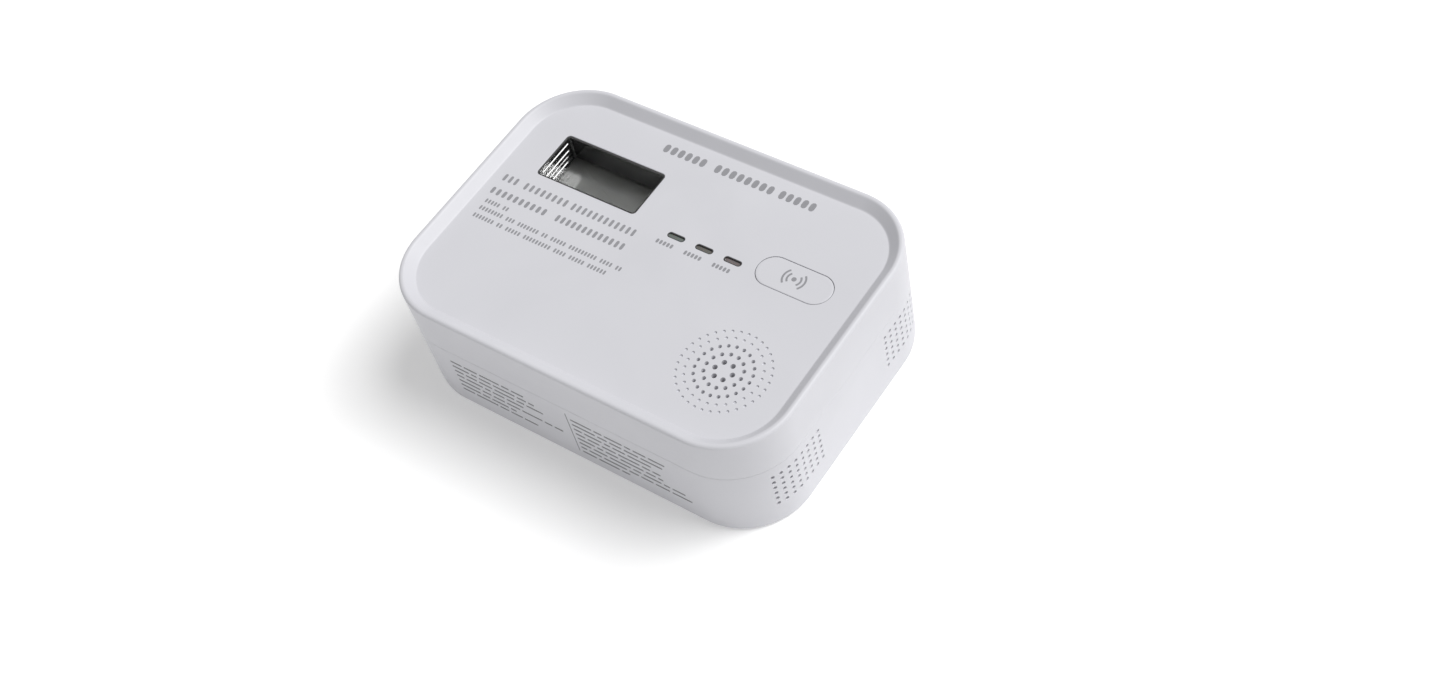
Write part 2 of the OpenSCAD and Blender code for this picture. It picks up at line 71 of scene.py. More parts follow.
COVER_HIGH = box_mm("front_cover")[1]
HOUSING_HIGH = box_mm("rear_housing")[1]
HALF_L = COVER_HIGH.x
HALF_W = COVER_HIGH.y
TOP_Z = COVER_HIGH.z
CORNER_R = 19.6
CORNER_STEPS = 28
DRAFT = 0.3
WALL = 2.2
RIM_R = 0.9
RIM_W = 4.3
RIM_FLAT = 0.3
RIM_SOFT = 0.12
PANEL_DEPTH = 2.4
PLATE = 2.0
CREST_Z = TOP_Z - RIM_R
PANEL_Z = TOP_Z - PANEL_DEPTH
PANEL_UNDER = PANEL_Z - PLATE
LIP_H = 2.0
LIP_T = 1.0
LIP_GAP = 0.2
SPLIT_Z = HOUSING_HIGH.z - LIP_H
SEAM = 0.14
FOOT_Z = 3.4
FOOT_STEP = 0.12
BACK_EDGE_R = 1.4

LENS_LOW, LENS_HIGH = box_mm("lcd_lens")
GLASS_LOW, GLASS_HIGH = box_mm("lcd_glass")
WELL_LOW, WELL_HIGH = box_mm("lcd_frame")
LCD = centre_of("lcd_frame")
LCD_L = 33.2
LCD_W = 15.2
LCD_R = 1.2
SHROUD = 0.5
# depth under the panel and radius of each rib on the well's end walls
WELL_RIBS = [(1.8, 0.32), (4.1, 0.32), (5.6, 0.18), (7.2, 0.32)]
RIB_END = 5.8

BUTTON = centre_of("test_button")
BUTTON_LOW = box_mm("test_button")[0]
BUTTON_L = 21.9
BUTTON_W = 9.4
BUTTON_GAP = 0.15
FLANGE = 1.2

PIPES = ("light_pipe_power", "light_pipe_fault", "light_pipe_alarm")
SLOT_L = 5.4
SLOT_W = 1.8

GRILLE = centre_of("sounder_case")
RING_R = [2.6, 5.1, 7.6, 10.0, 12.1]
RING_COUNT = [6, 14, 22, 27, 35]
RING_HOLE_R = [0.7, 0.56, 0.5, 0.42, 0.42]
OPEN_RINGS = 3
DIMPLE_DEPTH = 0.4
HOLE_FLARE = 0.1
HOLDER_R = 13.3
HOLDER_WALL = 1.2
HOLDER_H = 5.0

VENT_R = 0.55
VENT_FLARE = 0.12
VENT_TOP_Z = 20.6
VENT_PITCH = 2.46
VENT_ROW = 2.36
VENT_START = 15.9
VENT_COLUMNS = 8
VENT_ROWS = 6

SCREWS_LOW, SCREWS_HIGH = box_mm("case_screws")
SCREW_HEAD_R = 2.4
SCREW_SHANK_R = 1.3
SCREW_X = SCREWS_HIGH.x - SCREW_HEAD_R
SCREW_Y = SCREWS_HIGH.y - SCREW_HEAD_R
SCREW_PLACES = [(x * SCREW_X, y * SCREW_Y) for x in (-1, 1) for y in (-1, 1)]
SCREW_HEAD_H = 1.8
SCREW_WEB_Z = SCREWS_LOW.z + SCREW_HEAD_H
SCREW_BOSS_R = 3.4
SCREW_WELL_TOP = SCREW_WEB_Z + 8
BOSS_GAP = 0.2
THREAD_GRIP = 0.05
BOARD_HIGH = box_mm("main_board")[1]
BOARD_SCREWS = [(-48, -2), (48, -2), (6, 25), (46, 25)]
BOARD_BOSS_R = 2.6
BOARD_SHANK_R = 1.0

CONTACTS_LOW, CONTACTS_HIGH = box_mm("battery_contacts")
BAY_X0 = CONTACTS_LOW.x
BAY_X1 = CONTACTS_HIGH.x
BAY_WALL = 1.6
BAY_HALF_W = 23.5
BAY_TOP = 17.6
DOOR_LOW, DOOR_HIGH = box_mm("battery_door")
DOOR_T = 1.8
DOOR_GAP = 0.3
HINGE_R = 1.6
HINGE_PIN_R = 0.9
HINGE_X = DOOR_LOW.x + HINGE_R
DOOR_END = DOOR_HIGH.x
PIN_REACH = 1.8
DOOR_HALF_W = DOOR_HIGH.y - DOOR_GAP - PIN_REACH + 0.2
DOOR_OUT = DOOR_LOW.x - DOOR_GAP
TRAY_WALL = 1.2
TRAY_TOP = 2 * HINGE_R + DOOR_GAP + TRAY_WALL
CELL_PITCH = centre_of("battery_3").y
CELL_R = 7.25

KEYHOLE_X = 30.0
KEYHOLE_Y = 31.0
KEYHOLE_R = 3.8
KEYHOLE_SLOT_R = 2.1
KEYHOLE_TRAVEL = 5.4

LABEL_LOW, LABEL_HIGH = box_mm("rating_label")
LABEL_SEAT = 0.3

# ---------------------------------------------------------------- hand tools


def deselect():
    """Nothing is selected or active."""
    bpy.ops.object.select_all(action="DESELECT")
    bpy.context.view_layer.objects.active = None


def choose(*pieces):
    """Only these pieces are selected, and the first is active."""
    deselect()
    for piece in pieces:
        piece.select_set(True)
    bpy.context.view_layer.objects.active = pieces[0]


def edit(piece, mode="FACE"):
    """Opens a piece in edit mode, with nothing selected."""
    choose(piece)
    bpy.ops.object.mode_set(mode="EDIT")
    bpy.ops.mesh.select_mode(type=mode)
    bpy.ops.mesh.select_all(action="DESELECT")


def leave():
    """Back to object mode."""
    bpy.ops.object.mode_set(mode="OBJECT")


def pick_faces(piece, test):
    """In edit mode, selects the faces that pass a test."""
    bpy.ops.mesh.select_mode(type="FACE")
    mesh = bmesh.from_edit_mesh(piece.data)
    for face in mesh.faces:
        face.select_set(bool(test(face)))
    mesh.select_flush_mode()
    bmesh.update_edit_mesh(piece.data)


def pick_edges(piece, test):
    """In edit mode, selects the edges that pass a test."""
    bpy.ops.mesh.select_mode(type="EDGE")
    mesh = bmesh.from_edit_mesh(piece.data)
    for edge in mesh.edges:
        edge.select_set(bool(test(edge)))
    mesh.select_flush_mode()
    bmesh.update_edit_mesh(piece.data)


def pick_cap(piece, z, up):
    """In edit mode, selects the widest level face at height z that faces up or down."""
    mesh = bmesh.from_edit_mesh(piece.data)
    level = [
        face
        for face in mesh.faces
        if abs(face.calc_center_median().z - z * MM) < 0.02 * MM and face.normal.z * up > 0.9
    ]
    widest = max(level, key=lambda face: face.calc_area())
    pick_faces(piece, lambda face: face == widest)


def pick_level_edges(piece, z):
    """In edit mode, selects the edges that lie at height z."""
    pick_edges(piece, lambda edge: all(abs(v.co.z - z * MM) < 0.01 * MM for v in edge.verts))


def move(x=0, y=0, z=0):
    """Moves what is selected."""
    bpy.ops.transform.translate(value=(x * MM, y * MM, z * MM))


def extrude(z):
    """Extrudes the selected faces along Z."""
    bpy.ops.mesh.extrude_region_move(TRANSFORM_OT_translate={"value": (0, 0, z * MM)})


def step(inward, z=0):
    """Insets the selected face and moves it along Z, which traces one step of a profile."""
    bpy.ops.mesh.inset(thickness=inward * MM, use_boundary=True, use_even_offset=True)
    if z:
        move(z=z)


def bevel(width, segments=2):
    """Bevels the selected edges."""
    bpy.ops.mesh.bevel(offset=width * MM, segments=segments, affect="EDGES", clamp_overlap=True)


def name_it(name):
    """Names the active object and its mesh, and puts its place into its mesh."""
    piece = bpy.context.object
    piece.name = name
    piece.data.name = name
    bpy.ops.object.transform_apply(location=True, rotation=True, scale=True)
    return piece


def outline(name, centre, length, width, radius, z, corner_steps=8):
    """A flat face with round corners at height z, open in edit mode."""
    deselect()
    bpy.ops.mesh.primitive_plane_add(size=1, location=(centre[0] * MM, centre[1] * MM, z * MM))
    bpy.context.object.scale = (length * MM, width * MM, 1)
    piece = name_it(name)
    edit(piece, "VERT")
    bpy.ops.mesh.select_all(action="SELECT")
    bpy.ops.mesh.bevel(
        offset=min(radius, width / 2, length / 2) * MM,
        segments=corner_steps,
        affect="VERTICES",
        clamp_overlap=False,
    )
    bpy.ops.mesh.remove_doubles(threshold=WELD * MM)
    bpy.ops.mesh.select_mode(type="FACE")
    bpy.ops.mesh.select_all(action="SELECT")
    return piece


def disc(name, centre, radius, z, sides=16):
    """A flat round face at height z, open in edit mode."""
    deselect()
    place = (centre[0] * MM, centre[1] * MM, z * MM)
    bpy.ops.mesh.primitive_circle_add(vertices=sides, radius=radius * MM, fill_type="NGON", location=place)
    piece = name_it(name)
    edit(piece, "FACE")
    bpy.ops.mesh.select_all(action="SELECT")
    return piece


def block(name, low, high, edge=0.0):
    """A box between two corners, with its edges bevelled when edge is given."""
    deselect()
    middle = [(a + b) / 2 * MM for a, b in zip(low, high)]
    bpy.ops.mesh.primitive_cube_add(size=1, location=middle)
    bpy.context.object.scale = [(b - a) * MM for a, b in zip(low, high)]
    piece = name_it(name)
    if edge:
        edit(piece, "EDGE")
        bpy.ops.mesh.select_all(action="SELECT")
        bevel(edge)
        leave()
    return piece


def face_out():
    """In edit mode, turns every face of the open piece outwards."""
    bpy.ops.mesh.select_all(action="SELECT")
    bpy.ops.mesh.normals_make_consistent(inside=False)


def close(piece):
    """Merges doubles, turns the faces outwards and leaves edit mode."""
    bpy.ops.mesh.select_all(action="SELECT")
    bpy.ops.mesh.remove_doubles(threshold=WELD * MM)
    face_out()
    leave()
    return piece


def apply_modifier(piece, kind, **settings):
    """Adds a modifier with these settings and applies it."""
    choose(piece)
    modifier = piece.modifiers.new(kind.lower(), kind)
    for key, value in settings.items():
        setattr(modifier, key, value)
    bpy.ops.object.modifier_apply(modifier=modifier.name)


def join(pieces, name):
    """Joins pieces into one object."""
    choose(*pieces)
    if len(pieces) > 1:
        bpy.ops.object.join()
    piece = bpy.context.object
    piece.name = name
    piece.data.name = name
    return piece


def copy_at(piece, x=0, y=0, z=0):
    """A copy of a piece with its own mesh, moved by x, y and z."""
    twin = piece.copy()
    twin.data = piece.data.copy()
    bpy.context.collection.objects.link(twin)
    twin.data.transform(Matrix.Translation(Vector((x, y, z)) * MM))
    return twin


def turn_about(piece, axis, degrees, centre=(0, 0, 0)):
    """Turns a piece about an axis through a point, and puts the turn into its mesh."""
    choose(piece)
    bpy.ops.object.mode_set(mode="EDIT")
    bpy.ops.mesh.select_all(action="SELECT")
    bpy.ops.transform.rotate(
        value=-math.radians(degrees), orient_axis=axis, center_override=Vector(centre) * MM
    )
    leave()


def discard(piece):
    """Removes a piece."""
    bpy.data.objects.remove(piece, do_unlink=True)


def cut(piece, *tools):
    """Cuts a piece with each tool in turn, and removes the tools."""
    for tool in tools:
        apply_modifier(piece, "BOOLEAN", object=tool, operation="DIFFERENCE", solver="EXACT")
        discard(tool)


def fuse(piece, *others):
    """Joins a piece with each other solid in turn, and removes the others."""
    for other in others:
        apply_modifier(piece, "BOOLEAN", object=other, operation="UNION", solver="EXACT")
        discard(other)


def smooth(piece, angle=SMOOTH_ANGLE):
    """Shades a piece smooth up to an angle, with flat faces kept flat."""
    choose(piece)
    bpy.ops.object.shade_smooth_by_angle(angle=angle)
    apply_modifier(piece, "WEIGHTED_NORMAL", keep_sharp=True, weight=80)


def arc_steps(radius, count):
    """Steps (inward, along) of a quarter arc that starts upright and ends flat."""
    angles = [math.pi / 2 * i / count for i in range(count + 1)]
    points = [(radius * (1 - math.cos(a)), radius * math.sin(a)) for a in angles]
    return [(b[0] - a[0], b[1] - a[1]) for a, b in zip(points, points[1:])]


def round_over(radius, count, way=1):
    """Rounds the edge of the selected face, which moves by the radius along Z times way."""
    for inward, along in arc_steps(radius, count):
        step(inward, along * way)


def column(name, centre, radius, z0, z1, sides=32, edge=0.0):
    """An upright cylinder whose upper edge is chamfered when edge is given."""
    piece = disc(name, centre, radius, z0, sides)
    extrude(z1 - z0 - edge)
    if edge:
        step(edge, edge)
    return close(piece)


def lug(name, centre, length, width, radius, z0, z1, corner_steps=8):
    """An upright solid with a round-cornered outline."""
    piece = outline(name, centre, length, width, radius, z0, corner_steps)
    extrude(z1 - z0)
    return close(piece)


def rod_along_y(name, x, z, radius, y0, y1, sides=24, edge=0.0):
    """A cylinder along Y whose end edges are bevelled when edge is given."""
    piece = column(name, (0, 0), radius, y0, y1, sides)
    if edge:
        edit(piece, "EDGE")
        for level in (y0, y1):
            pick_level_edges(piece, level)
            bevel(edge)
        leave()
    turn_about(piece, "X", -90)
    piece.data.transform(Matrix.Translation(Vector((x, 0, z)) * MM))
    return piece


def flared_tool(name, centre, length, width, radius, top, depth, edge=0.15, corner_steps=8):
    """A cutter for an opening whose upper edge is rounded. depth counts down from the surface."""
    tool = outline(name, centre, length + 2 * edge, width + 2 * edge, radius + edge, top + 1, corner_steps)
    extrude(-1)
    for inward, along in reversed(arc_steps(edge, 3)):
        step(inward, -along)
    extrude(-(depth - edge))
    return close(tool)


def flared_hole(name, radius, top, depth, edge, sides):
    """A round cutter at the origin whose upper edge is rounded."""
    hole = disc(name, (0, 0), radius + edge, top + 1, sides)
    extrude(-1)
    for inward, along in reversed(arc_steps(edge, 2)):
        step(inward, -along)
    extrude(-(depth - edge))
    return close(hole)


def lean(z):
    """How far the side wall stands in from the rim at height z."""
    return DRAFT * (CREST_Z - z) / CREST_Z


def casing_face(name, z):
    """The casing's outline at height z, open in edit mode."""
    inset = lean(z)
    return outline(
        name, (0, 0), 2 * (HALF_L - inset), 2 * (HALF_W - inset), CORNER_R - inset, z, CORNER_STEPS
    )


def pull_in(amount):
    """Scales the selected casing outline so that it stands in by an amount."""
    bpy.ops.transform.resize(value=(1 - amount / HALF_L, 1 - amount / HALF_W, 1))


def set_piece(piece, body, slot, material, *nodes):
    """Gives a piece its body and material, and hides the CAD nodes that it stands for. slot is not used."""
    piece.data.materials.clear()
    piece.data.materials.append(material)
    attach(piece, body)
    if nodes:
        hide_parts(*nodes)
    return piece

# ---------------------------------------------------------------- materials

SOCKET_KINDS = {"Vector": "NodeSocketVector", "Scale": "NodeSocketFloat"}
PATTERN_OUTPUTS = ("Mask", "Gloss", "Height")


def add_node(tree, kind, inputs=None, **settings):
    """Adds a shader node. An input is a value, or a socket to link from."""
    item = tree.nodes.new("ShaderNode" + kind)
    for key, value in settings.items():
        setattr(item, key, value)
    for key, value in (inputs or {}).items():
        if isinstance(value, bpy.types.NodeSocket):
            tree.links.new(value, item.inputs[key])
        else:
            item.inputs[key].default_value = value
    return item


def calc(tree, operation, a, b=0.0, c=0.0):
    """Adds a math node and returns its result."""
    return add_node(tree, "Math", {0: a, 1: b, 2: c}, operation=operation).outputs[0]


def spread(tree, value, low, high, to_low=0.0, to_high=1.0):
    """Maps a value's range onto another, clamped."""
    inputs = {"Value": value, "From Min": low, "From Max": high, "To Min": to_low, "To Max": to_high}
    return add_node(tree, "MapRange", inputs).outputs[0]


def noise(tree, vector, scale, detail=2.0, roughness=0.5, distortion=0.0):
    """Adds a noise texture and returns its value."""
    place = {"Vector": vector, "Scale": scale}
    inputs = {**place, "Detail": detail, "Roughness": roughness, "Distortion": distortion}
    return add_node(tree, "TexNoise", inputs).outputs["Fac"]


def cells(tree, vector, scale, share=1.0):
    """Adds a cell texture, with its scale times a share, and returns the node."""
    size = scale if share == 1.0 else calc(tree, "MULTIPLY", scale, share)
    return add_node(tree, "TexVoronoi", {"Vector": vector, "Scale": size})


def scaled(tree, vector, factors):
    """A vector stretched along each axis."""
    return add_node(tree, "VectorMath", {0: vector, 1: factors}, operation="MULTIPLY").outputs[0]


def new_pattern(name):
    """An empty pattern group: Vector and Scale in, Mask, Gloss and Height out."""
    tree = bpy.data.node_groups.new(name, "ShaderNodeTree")
    for label, kind in SOCKET_KINDS.items():
        tree.interface.new_socket(label, in_out="INPUT", socket_type=kind)
    for label in PATTERN_OUTPUTS:
        tree.interface.new_socket(label, in_out="OUTPUT", socket_type="NodeSocketFloat")
    entry = tree.nodes.new("NodeGroupInput")
    return tree, entry.outputs["Vector"], entry.outputs["Scale"]


def finish_pattern(tree, mask, gloss, height):
    """Links a pattern group's results to its outputs."""
    exit_node = tree.nodes.new("NodeGroupOutput")
    for label, value in zip(PATTERN_OUTPUTS, (mask, gloss, height)):
        tree.links.new(value, exit_node.inputs[label])
    return tree


def moulded_grain():
    """Spark-eroded mould texture with slow flow marks and faint handling marks."""
    tree, place, scale = new_pattern("moulded_grain")
    fine = noise(tree, place, scale, 3.0, 0.6)
    pebbles = calc(tree, "SUBTRACT", 1.0, cells(tree, place, scale, 0.6).outputs["Distance"])
    height = calc(tree, "MULTIPLY_ADD", pebbles, 0.35, calc(tree, "MULTIPLY", fine, 0.65))
    flow = noise(tree, scaled(tree, place, (1.0, 1.0, 1.6)), 26.0, 3.0, 0.45, 0.8)
    handled = noise(tree, place, 190.0, 4.0, 0.6)
    gloss = calc(tree, "MULTIPLY_ADD", handled, 0.6, calc(tree, "MULTIPLY", fine, 0.4))
    return finish_pattern(tree, spread(tree, flow, 0.3, 0.7), spread(tree, gloss, 0.3, 0.7), height)


def polished_film():
    """Gloss plastic, epoxy and film: long shallow waves, specks of dust and a few hairlines."""
    tree, place, scale = new_pattern("polished_film")
    waves = noise(tree, place, calc(tree, "MULTIPLY", scale, 0.12), 2.0, 0.4, 0.5)
    dust = spread(tree, cells(tree, place, scale, 1.5).outputs["Distance"], 0.0, 0.12, 1.0, 0.0)
    hairs = noise(tree, scaled(tree, place, (1.0, 14.0, 1.0)), scale, 2.0, 0.5, 0.2)
    lines = spread(tree, hairs, 0.64, 0.7)
    gloss = calc(tree, "MAXIMUM", calc(tree, "MULTIPLY", dust, 0.8), calc(tree, "MULTIPLY", lines, 0.5))
    return finish_pattern(tree, spread(tree, waves, 0.35, 0.65), gloss, waves)


def drawn_metal():
    """Plated or drawn metal: streaks along one way, blotches of tarnish and shallow pits."""
    tree, place, scale = new_pattern("drawn_metal")
    streaks = noise(tree, scaled(tree, place, (1.0, 1.0, 16.0)), scale, 3.0, 0.6)
    blotches = noise(tree, place, calc(tree, "MULTIPLY", scale, 0.15), 4.0, 0.55, 0.6)
    dents = spread(tree, cells(tree, place, scale).outputs["Distance"], 0.0, 0.35)
    height = calc(tree, "MULTIPLY_ADD", streaks, 0.6, calc(tree, "MULTIPLY", dents, 0.4))
    mask = spread(tree, blotches, 0.35, 0.68)
    return finish_pattern(tree, mask, spread(tree, streaks, 0.3, 0.7), height)


def ink_layer():
    """Pad-printed ink: small pinholes and uneven cover."""
    tree, place, scale = new_pattern("ink_layer")
    cover = noise(tree, place, scale, 3.0, 0.6)
    pinholes = spread(tree, cells(tree, place, scale, 0.8).outputs["Distance"], 0.02, 0.2)
    mask = calc(tree, "MULTIPLY", spread(tree, cover, 0.25, 0.75), pinholes)
    return finish_pattern(tree, mask, spread(tree, cover, 0.3, 0.7), cover)


def open_pores():
    """Foam, rubber and membrane: crowded pores of two sizes."""
    tree, place, scale = new_pattern("open_pores")
    big = cells(tree, place, scale).outputs["Distance"]
    small = cells(tree, place, scale, 2.7).outputs["Distance"]
    walls = calc(tree, "MULTIPLY_ADD", big, 0.7, small)
    mask = spread(tree, walls, 0.2, 1.0)
    return finish_pattern(tree, mask, mask, walls)


def board_tracks():
    """Circuit board: copper tracks that run both ways under the mask, pads, and glass weave."""
    tree, place, scale = new_pattern("board_tracks")
    patch = cells(tree, place, scale, 0.12)
    split = add_node(tree, "SeparateColor", {"Color": patch.outputs["Color"]})
    ways = []
    for axis in ("X", "Y"):
        inputs = {"Vector": place, "Scale": calc(tree, "MULTIPLY", scale, 0.3)}
        wave = add_node(tree, "TexWave", inputs, bands_direction=axis)
        ways.append(spread(tree, wave.outputs["Fac"], 0.62, 0.7))
    across = calc(tree, "MULTIPLY", ways[0], calc(tree, "GREATER_THAN", split.outputs["Red"], 0.6))
    along = calc(tree, "MULTIPLY", ways[1], calc(tree, "LESS_THAN", split.outputs["Red"], 0.4))
    tracks = calc(tree, "MAXIMUM", across, along)
    pads = spread(tree, cells(tree, place, scale, 0.25).outputs["Distance"], 0.12, 0.16, 1.0, 0.0)
    weave = add_node(tree, "TexChecker", {"Vector": place, "Scale": scale}).outputs["Fac"]
    mask = calc(tree, "MAXIMUM", tracks, pads)
    height = calc(tree, "MULTIPLY_ADD", weave, 0.1, mask)
    gloss = calc(tree, "MULTIPLY_ADD", weave, 0.2, calc(tree, "MULTIPLY", mask, 0.5))
    return finish_pattern(tree, mask, gloss, height)


def display_layers():
    """Display glass: faint soft clouding and a fine polariser grain streaked along one axis."""
    tree, place, scale = new_pattern("display_layers")
    grain = noise(tree, scaled(tree, place, (1.0, 4.0, 1.0)), scale, 2.0, 0.5)
    cloud = noise(tree, place, calc(tree, "MULTIPLY", scale, 0.02), 2.0, 0.4)
    mask = calc(tree, "MULTIPLY_ADD", cloud, 0.8, calc(tree, "MULTIPLY", grain, 0.2))
    return finish_pattern(tree, spread(tree, mask, 0.35, 0.65), grain, grain)


PATTERN_BUILDERS = (
    moulded_grain,
    polished_film,
    drawn_metal,
    ink_layer,
    open_pores,
    board_tracks,
    display_layers,
)
PATTERNS = {build.__name__: build() for build in PATTERN_BUILDERS}


def finish(name, pattern, scale, colours, gloss, bump, depth, **uniform):
    """A material. A pattern group varies its colour and roughness between two values, and its height.

    scale is in features per metre, bump is a strength from 0 to 1 and depth is in millimetres.
    """
    material = bpy.data.materials.new(name)
    material.use_nodes = True
    tree = material.node_tree
    shader = tree.nodes["Principled BSDF"]
    place = tree.nodes.new("ShaderNodeTexCoord").outputs["Object"]
    group = tree.nodes.new("ShaderNodeGroup")
    group.node_tree = PATTERNS[pattern]
    tree.links.new(place, group.inputs["Vector"])
    group.inputs["Scale"].default_value = scale
    mix = tree.nodes.new("ShaderNodeMix")
    mix.data_type = "RGBA"
    mix.inputs["A"].default_value = (*colours[0], 1)
    mix.inputs["B"].default_value = (*colours[1], 1)
    tree.links.new(group.outputs["Mask"], mix.inputs["Factor"])
    tree.links.new(mix.outputs["Result"], shader.inputs["Base Color"])
    tree.links.new(spread(tree, group.outputs["Gloss"], 0, 1, *gloss), shader.inputs["Roughness"])
    bumps = {"Strength": bump, "Distance": depth * MM, "Height": group.outputs["Height"]}
    relief = add_node(tree, "Bump", bumps)
    tree.links.new(relief.outputs["Normal"], shader.inputs["Normal"])
    for label, value in uniform.items():
        shader.inputs[label.replace("_", " ")].default_value = value
    return material


def casing_plastic():
    """Off-white ABS of the two casing halves and the button."""
    return finish(
        "casing_plastic", "moulded_grain", 2600,
        [(0.64, 0.64, 0.675), (0.67, 0.67, 0.705)],
        (0.42, 0.5), 0.12, 0.02,
    )


def door_plastic():
    """Off-white ABS of the battery door, from another shot of the same colour."""
    return finish(
        "door_plastic", "moulded_grain", 1900,
        [(0.62, 0.62, 0.65), (0.65, 0.65, 0.68)],
        (0.46, 0.56), 0.2, 0.03,
    )


def well_plastic():
    """Gloss black plastic of the display well."""
    return finish(
        "well_plastic", "polished_film", 900,
        [(0.014, 0.014, 0.015), (0.02, 0.02, 0.021)],
        (0.12, 0.18), 0.03, 0.01,
        IOR=2.1, Specular_IOR_Level=0.7,
    )


def lens_acrylic():
    """Clear acrylic of the display lens."""
    return finish(
        "lens_acrylic", "polished_film", 500,
        [(0.97, 0.98, 0.98), (0.98, 0.99, 0.99)],
        (0.01, 0.05), 0.02, 0.01,
        IOR=1.49, Transmission_Weight=1.0,
    )


def display_glass():
    """Grey face of the switched-off display."""
    return finish(
        "display_glass", "display_layers", 9000,
        [(0.25, 0.25, 0.242), (0.28, 0.28, 0.27)],
        (0.28, 0.36), 0.05, 0.005,
    )


def pipe_plastic(name, tint):
    """Smoky translucent plastic of a light pipe."""
    pale = tuple(channel * 1.35 for channel in tint)
    return finish(
        name, "polished_film", 1200,
        [tint, pale],
        (0.18, 0.32), 0.05, 0.01,
        Subsurface_Weight=0.15, Subsurface_Scale=0.001,
    )


def lamp_epoxy():
    """Diffused epoxy of the lamps."""
    return finish(
        "lamp_epoxy", "polished_film", 2000,
        [(0.72, 0.72, 0.68), (0.8, 0.8, 0.76)],
        (0.15, 0.3), 0.05, 0.01,
        Subsurface_Weight=0.3, Subsurface_Scale=0.001,
    )


def part_black():
    """Matt black nylon and epoxy of the small parts."""
    return finish(
        "part_black", "moulded_grain", 3200,
        [(0.022, 0.022, 0.023), (0.035, 0.035, 0.036)],
        (0.4, 0.58), 0.25, 0.03,
    )


def board_mask():
    """Green solder mask over copper tracks."""
    return finish(
        "board_mask", "board_tracks", 2200,
        [(0.012, 0.12, 0.045), (0.03, 0.26, 0.1)],
        (0.28, 0.45), 0.4, 0.05,
        Coat_Weight=0.3, Coat_Roughness=0.15,
    )


def zinc_steel():
    """Zinc-plated steel of the screws and the sensor's can."""
    return finish(
        "zinc_steel", "drawn_metal", 900,
        [(0.55, 0.56, 0.57), (0.66, 0.66, 0.66)],
        (0.25, 0.42), 0.2, 0.02,
        Metallic=1.0,
    )


def nickel_spring():
    """Nickel-plated spring steel of the contacts."""
    return finish(
        "nickel_spring", "drawn_metal", 1400,
        [(0.66, 0.65, 0.62), (0.74, 0.73, 0.7)],
        (0.14, 0.28), 0.12, 0.01,
        Metallic=1.0,
    )


def brass_sheet():
    """Rolled brass of the sounder disc and the pins."""
    return finish(
        "brass_sheet", "drawn_metal", 1100,
        [(0.72, 0.5, 0.2), (0.8, 0.6, 0.28)],
        (0.2, 0.38), 0.15, 0.01,
        Metallic=1.0,
    )


def sintered_ferrite():
    """Dark sintered ferrite of the coil."""
    return finish(
        "sintered_ferrite", "moulded_grain", 3600,
        [(0.05, 0.05, 0.055), (0.09, 0.09, 0.095)],
        (0.5, 0.7), 0.4, 0.04,
    )


def shrink_sleeve():
    """Dark blue shrink sleeve of the capacitor."""
    return finish(
        "shrink_sleeve", "polished_film", 1400,
        [(0.03, 0.045, 0.16), (0.04, 0.06, 0.2)],
        (0.2, 0.34), 0.08, 0.02,
    )


def closed_foam():
    """Dark closed-cell foam of the gasket."""
    return finish(
        "closed_foam", "open_pores", 2600,
        [(0.05, 0.05, 0.055), (0.11, 0.11, 0.12)],
        (0.75, 0.9), 0.6, 0.1,
    )


def fired_ceramic():
    """Silvered ceramic of the sounder."""
    return finish(
        "fired_ceramic", "moulded_grain", 2800,
        [(0.74, 0.71, 0.62), (0.82, 0.8, 0.72)],
        (0.35, 0.55), 0.2, 0.02,
    )


def filter_membrane():
    """White porous membrane over the sensor."""
    return finish(
        "filter_membrane", "open_pores", 5200,
        [(0.7, 0.7, 0.68), (0.86, 0.86, 0.84)],
        (0.8, 0.95), 0.5, 0.05,
    )


def strip_rubber():
    """Pink silicone of the connector strips."""
    return finish(
        "strip_rubber", "open_pores", 4200,
        [(0.6, 0.34, 0.38), (0.7, 0.45, 0.5)],
        (0.5, 0.65), 0.2, 0.02,
    )


def wire_jacket(name, colour):
    """Soft insulation of a lead."""
    pale = tuple(channel * 1.2 + 0.004 for channel in colour)
    return finish(
        name, "polished_film", 2400,
        [colour, pale],
        (0.3, 0.45), 0.1, 0.01,
    )


def cell_film():
    """Plain dark film sleeve of a battery cell."""
    return finish(
        "cell_film", "polished_film", 800,
        [(0.055, 0.085, 0.12), (0.07, 0.105, 0.15)],
        (0.16, 0.3), 0.06, 0.02,
        Coat_Weight=0.4, Coat_Roughness=0.08,
    )


def label_film():
    """White film of the rating label."""
    return finish(
        "label_film", "ink_layer", 1800,
        [(0.7, 0.7, 0.71), (0.78, 0.78, 0.785)],
        (0.35, 0.5), 0.1, 0.01,
    )


def grey_ink():
    """Grey pad-printed ink."""
    return finish(
        "grey_ink", "ink_layer", 5200,
        [(0.33, 0.33, 0.35), (0.27, 0.27, 0.29)],
        (0.42, 0.6), 0.2, 0.01,
    )


def fine_ink():
    """Darker grey ink of the fine print on the near wall and the label."""
    return finish(
        "fine_ink", "ink_layer", 4200,
        [(0.2, 0.2, 0.21), (0.15, 0.15, 0.158)],
        (0.45, 0.6), 0.2, 0.01,
    )


# ---------------------------------------------------------------- camera, lights and floor


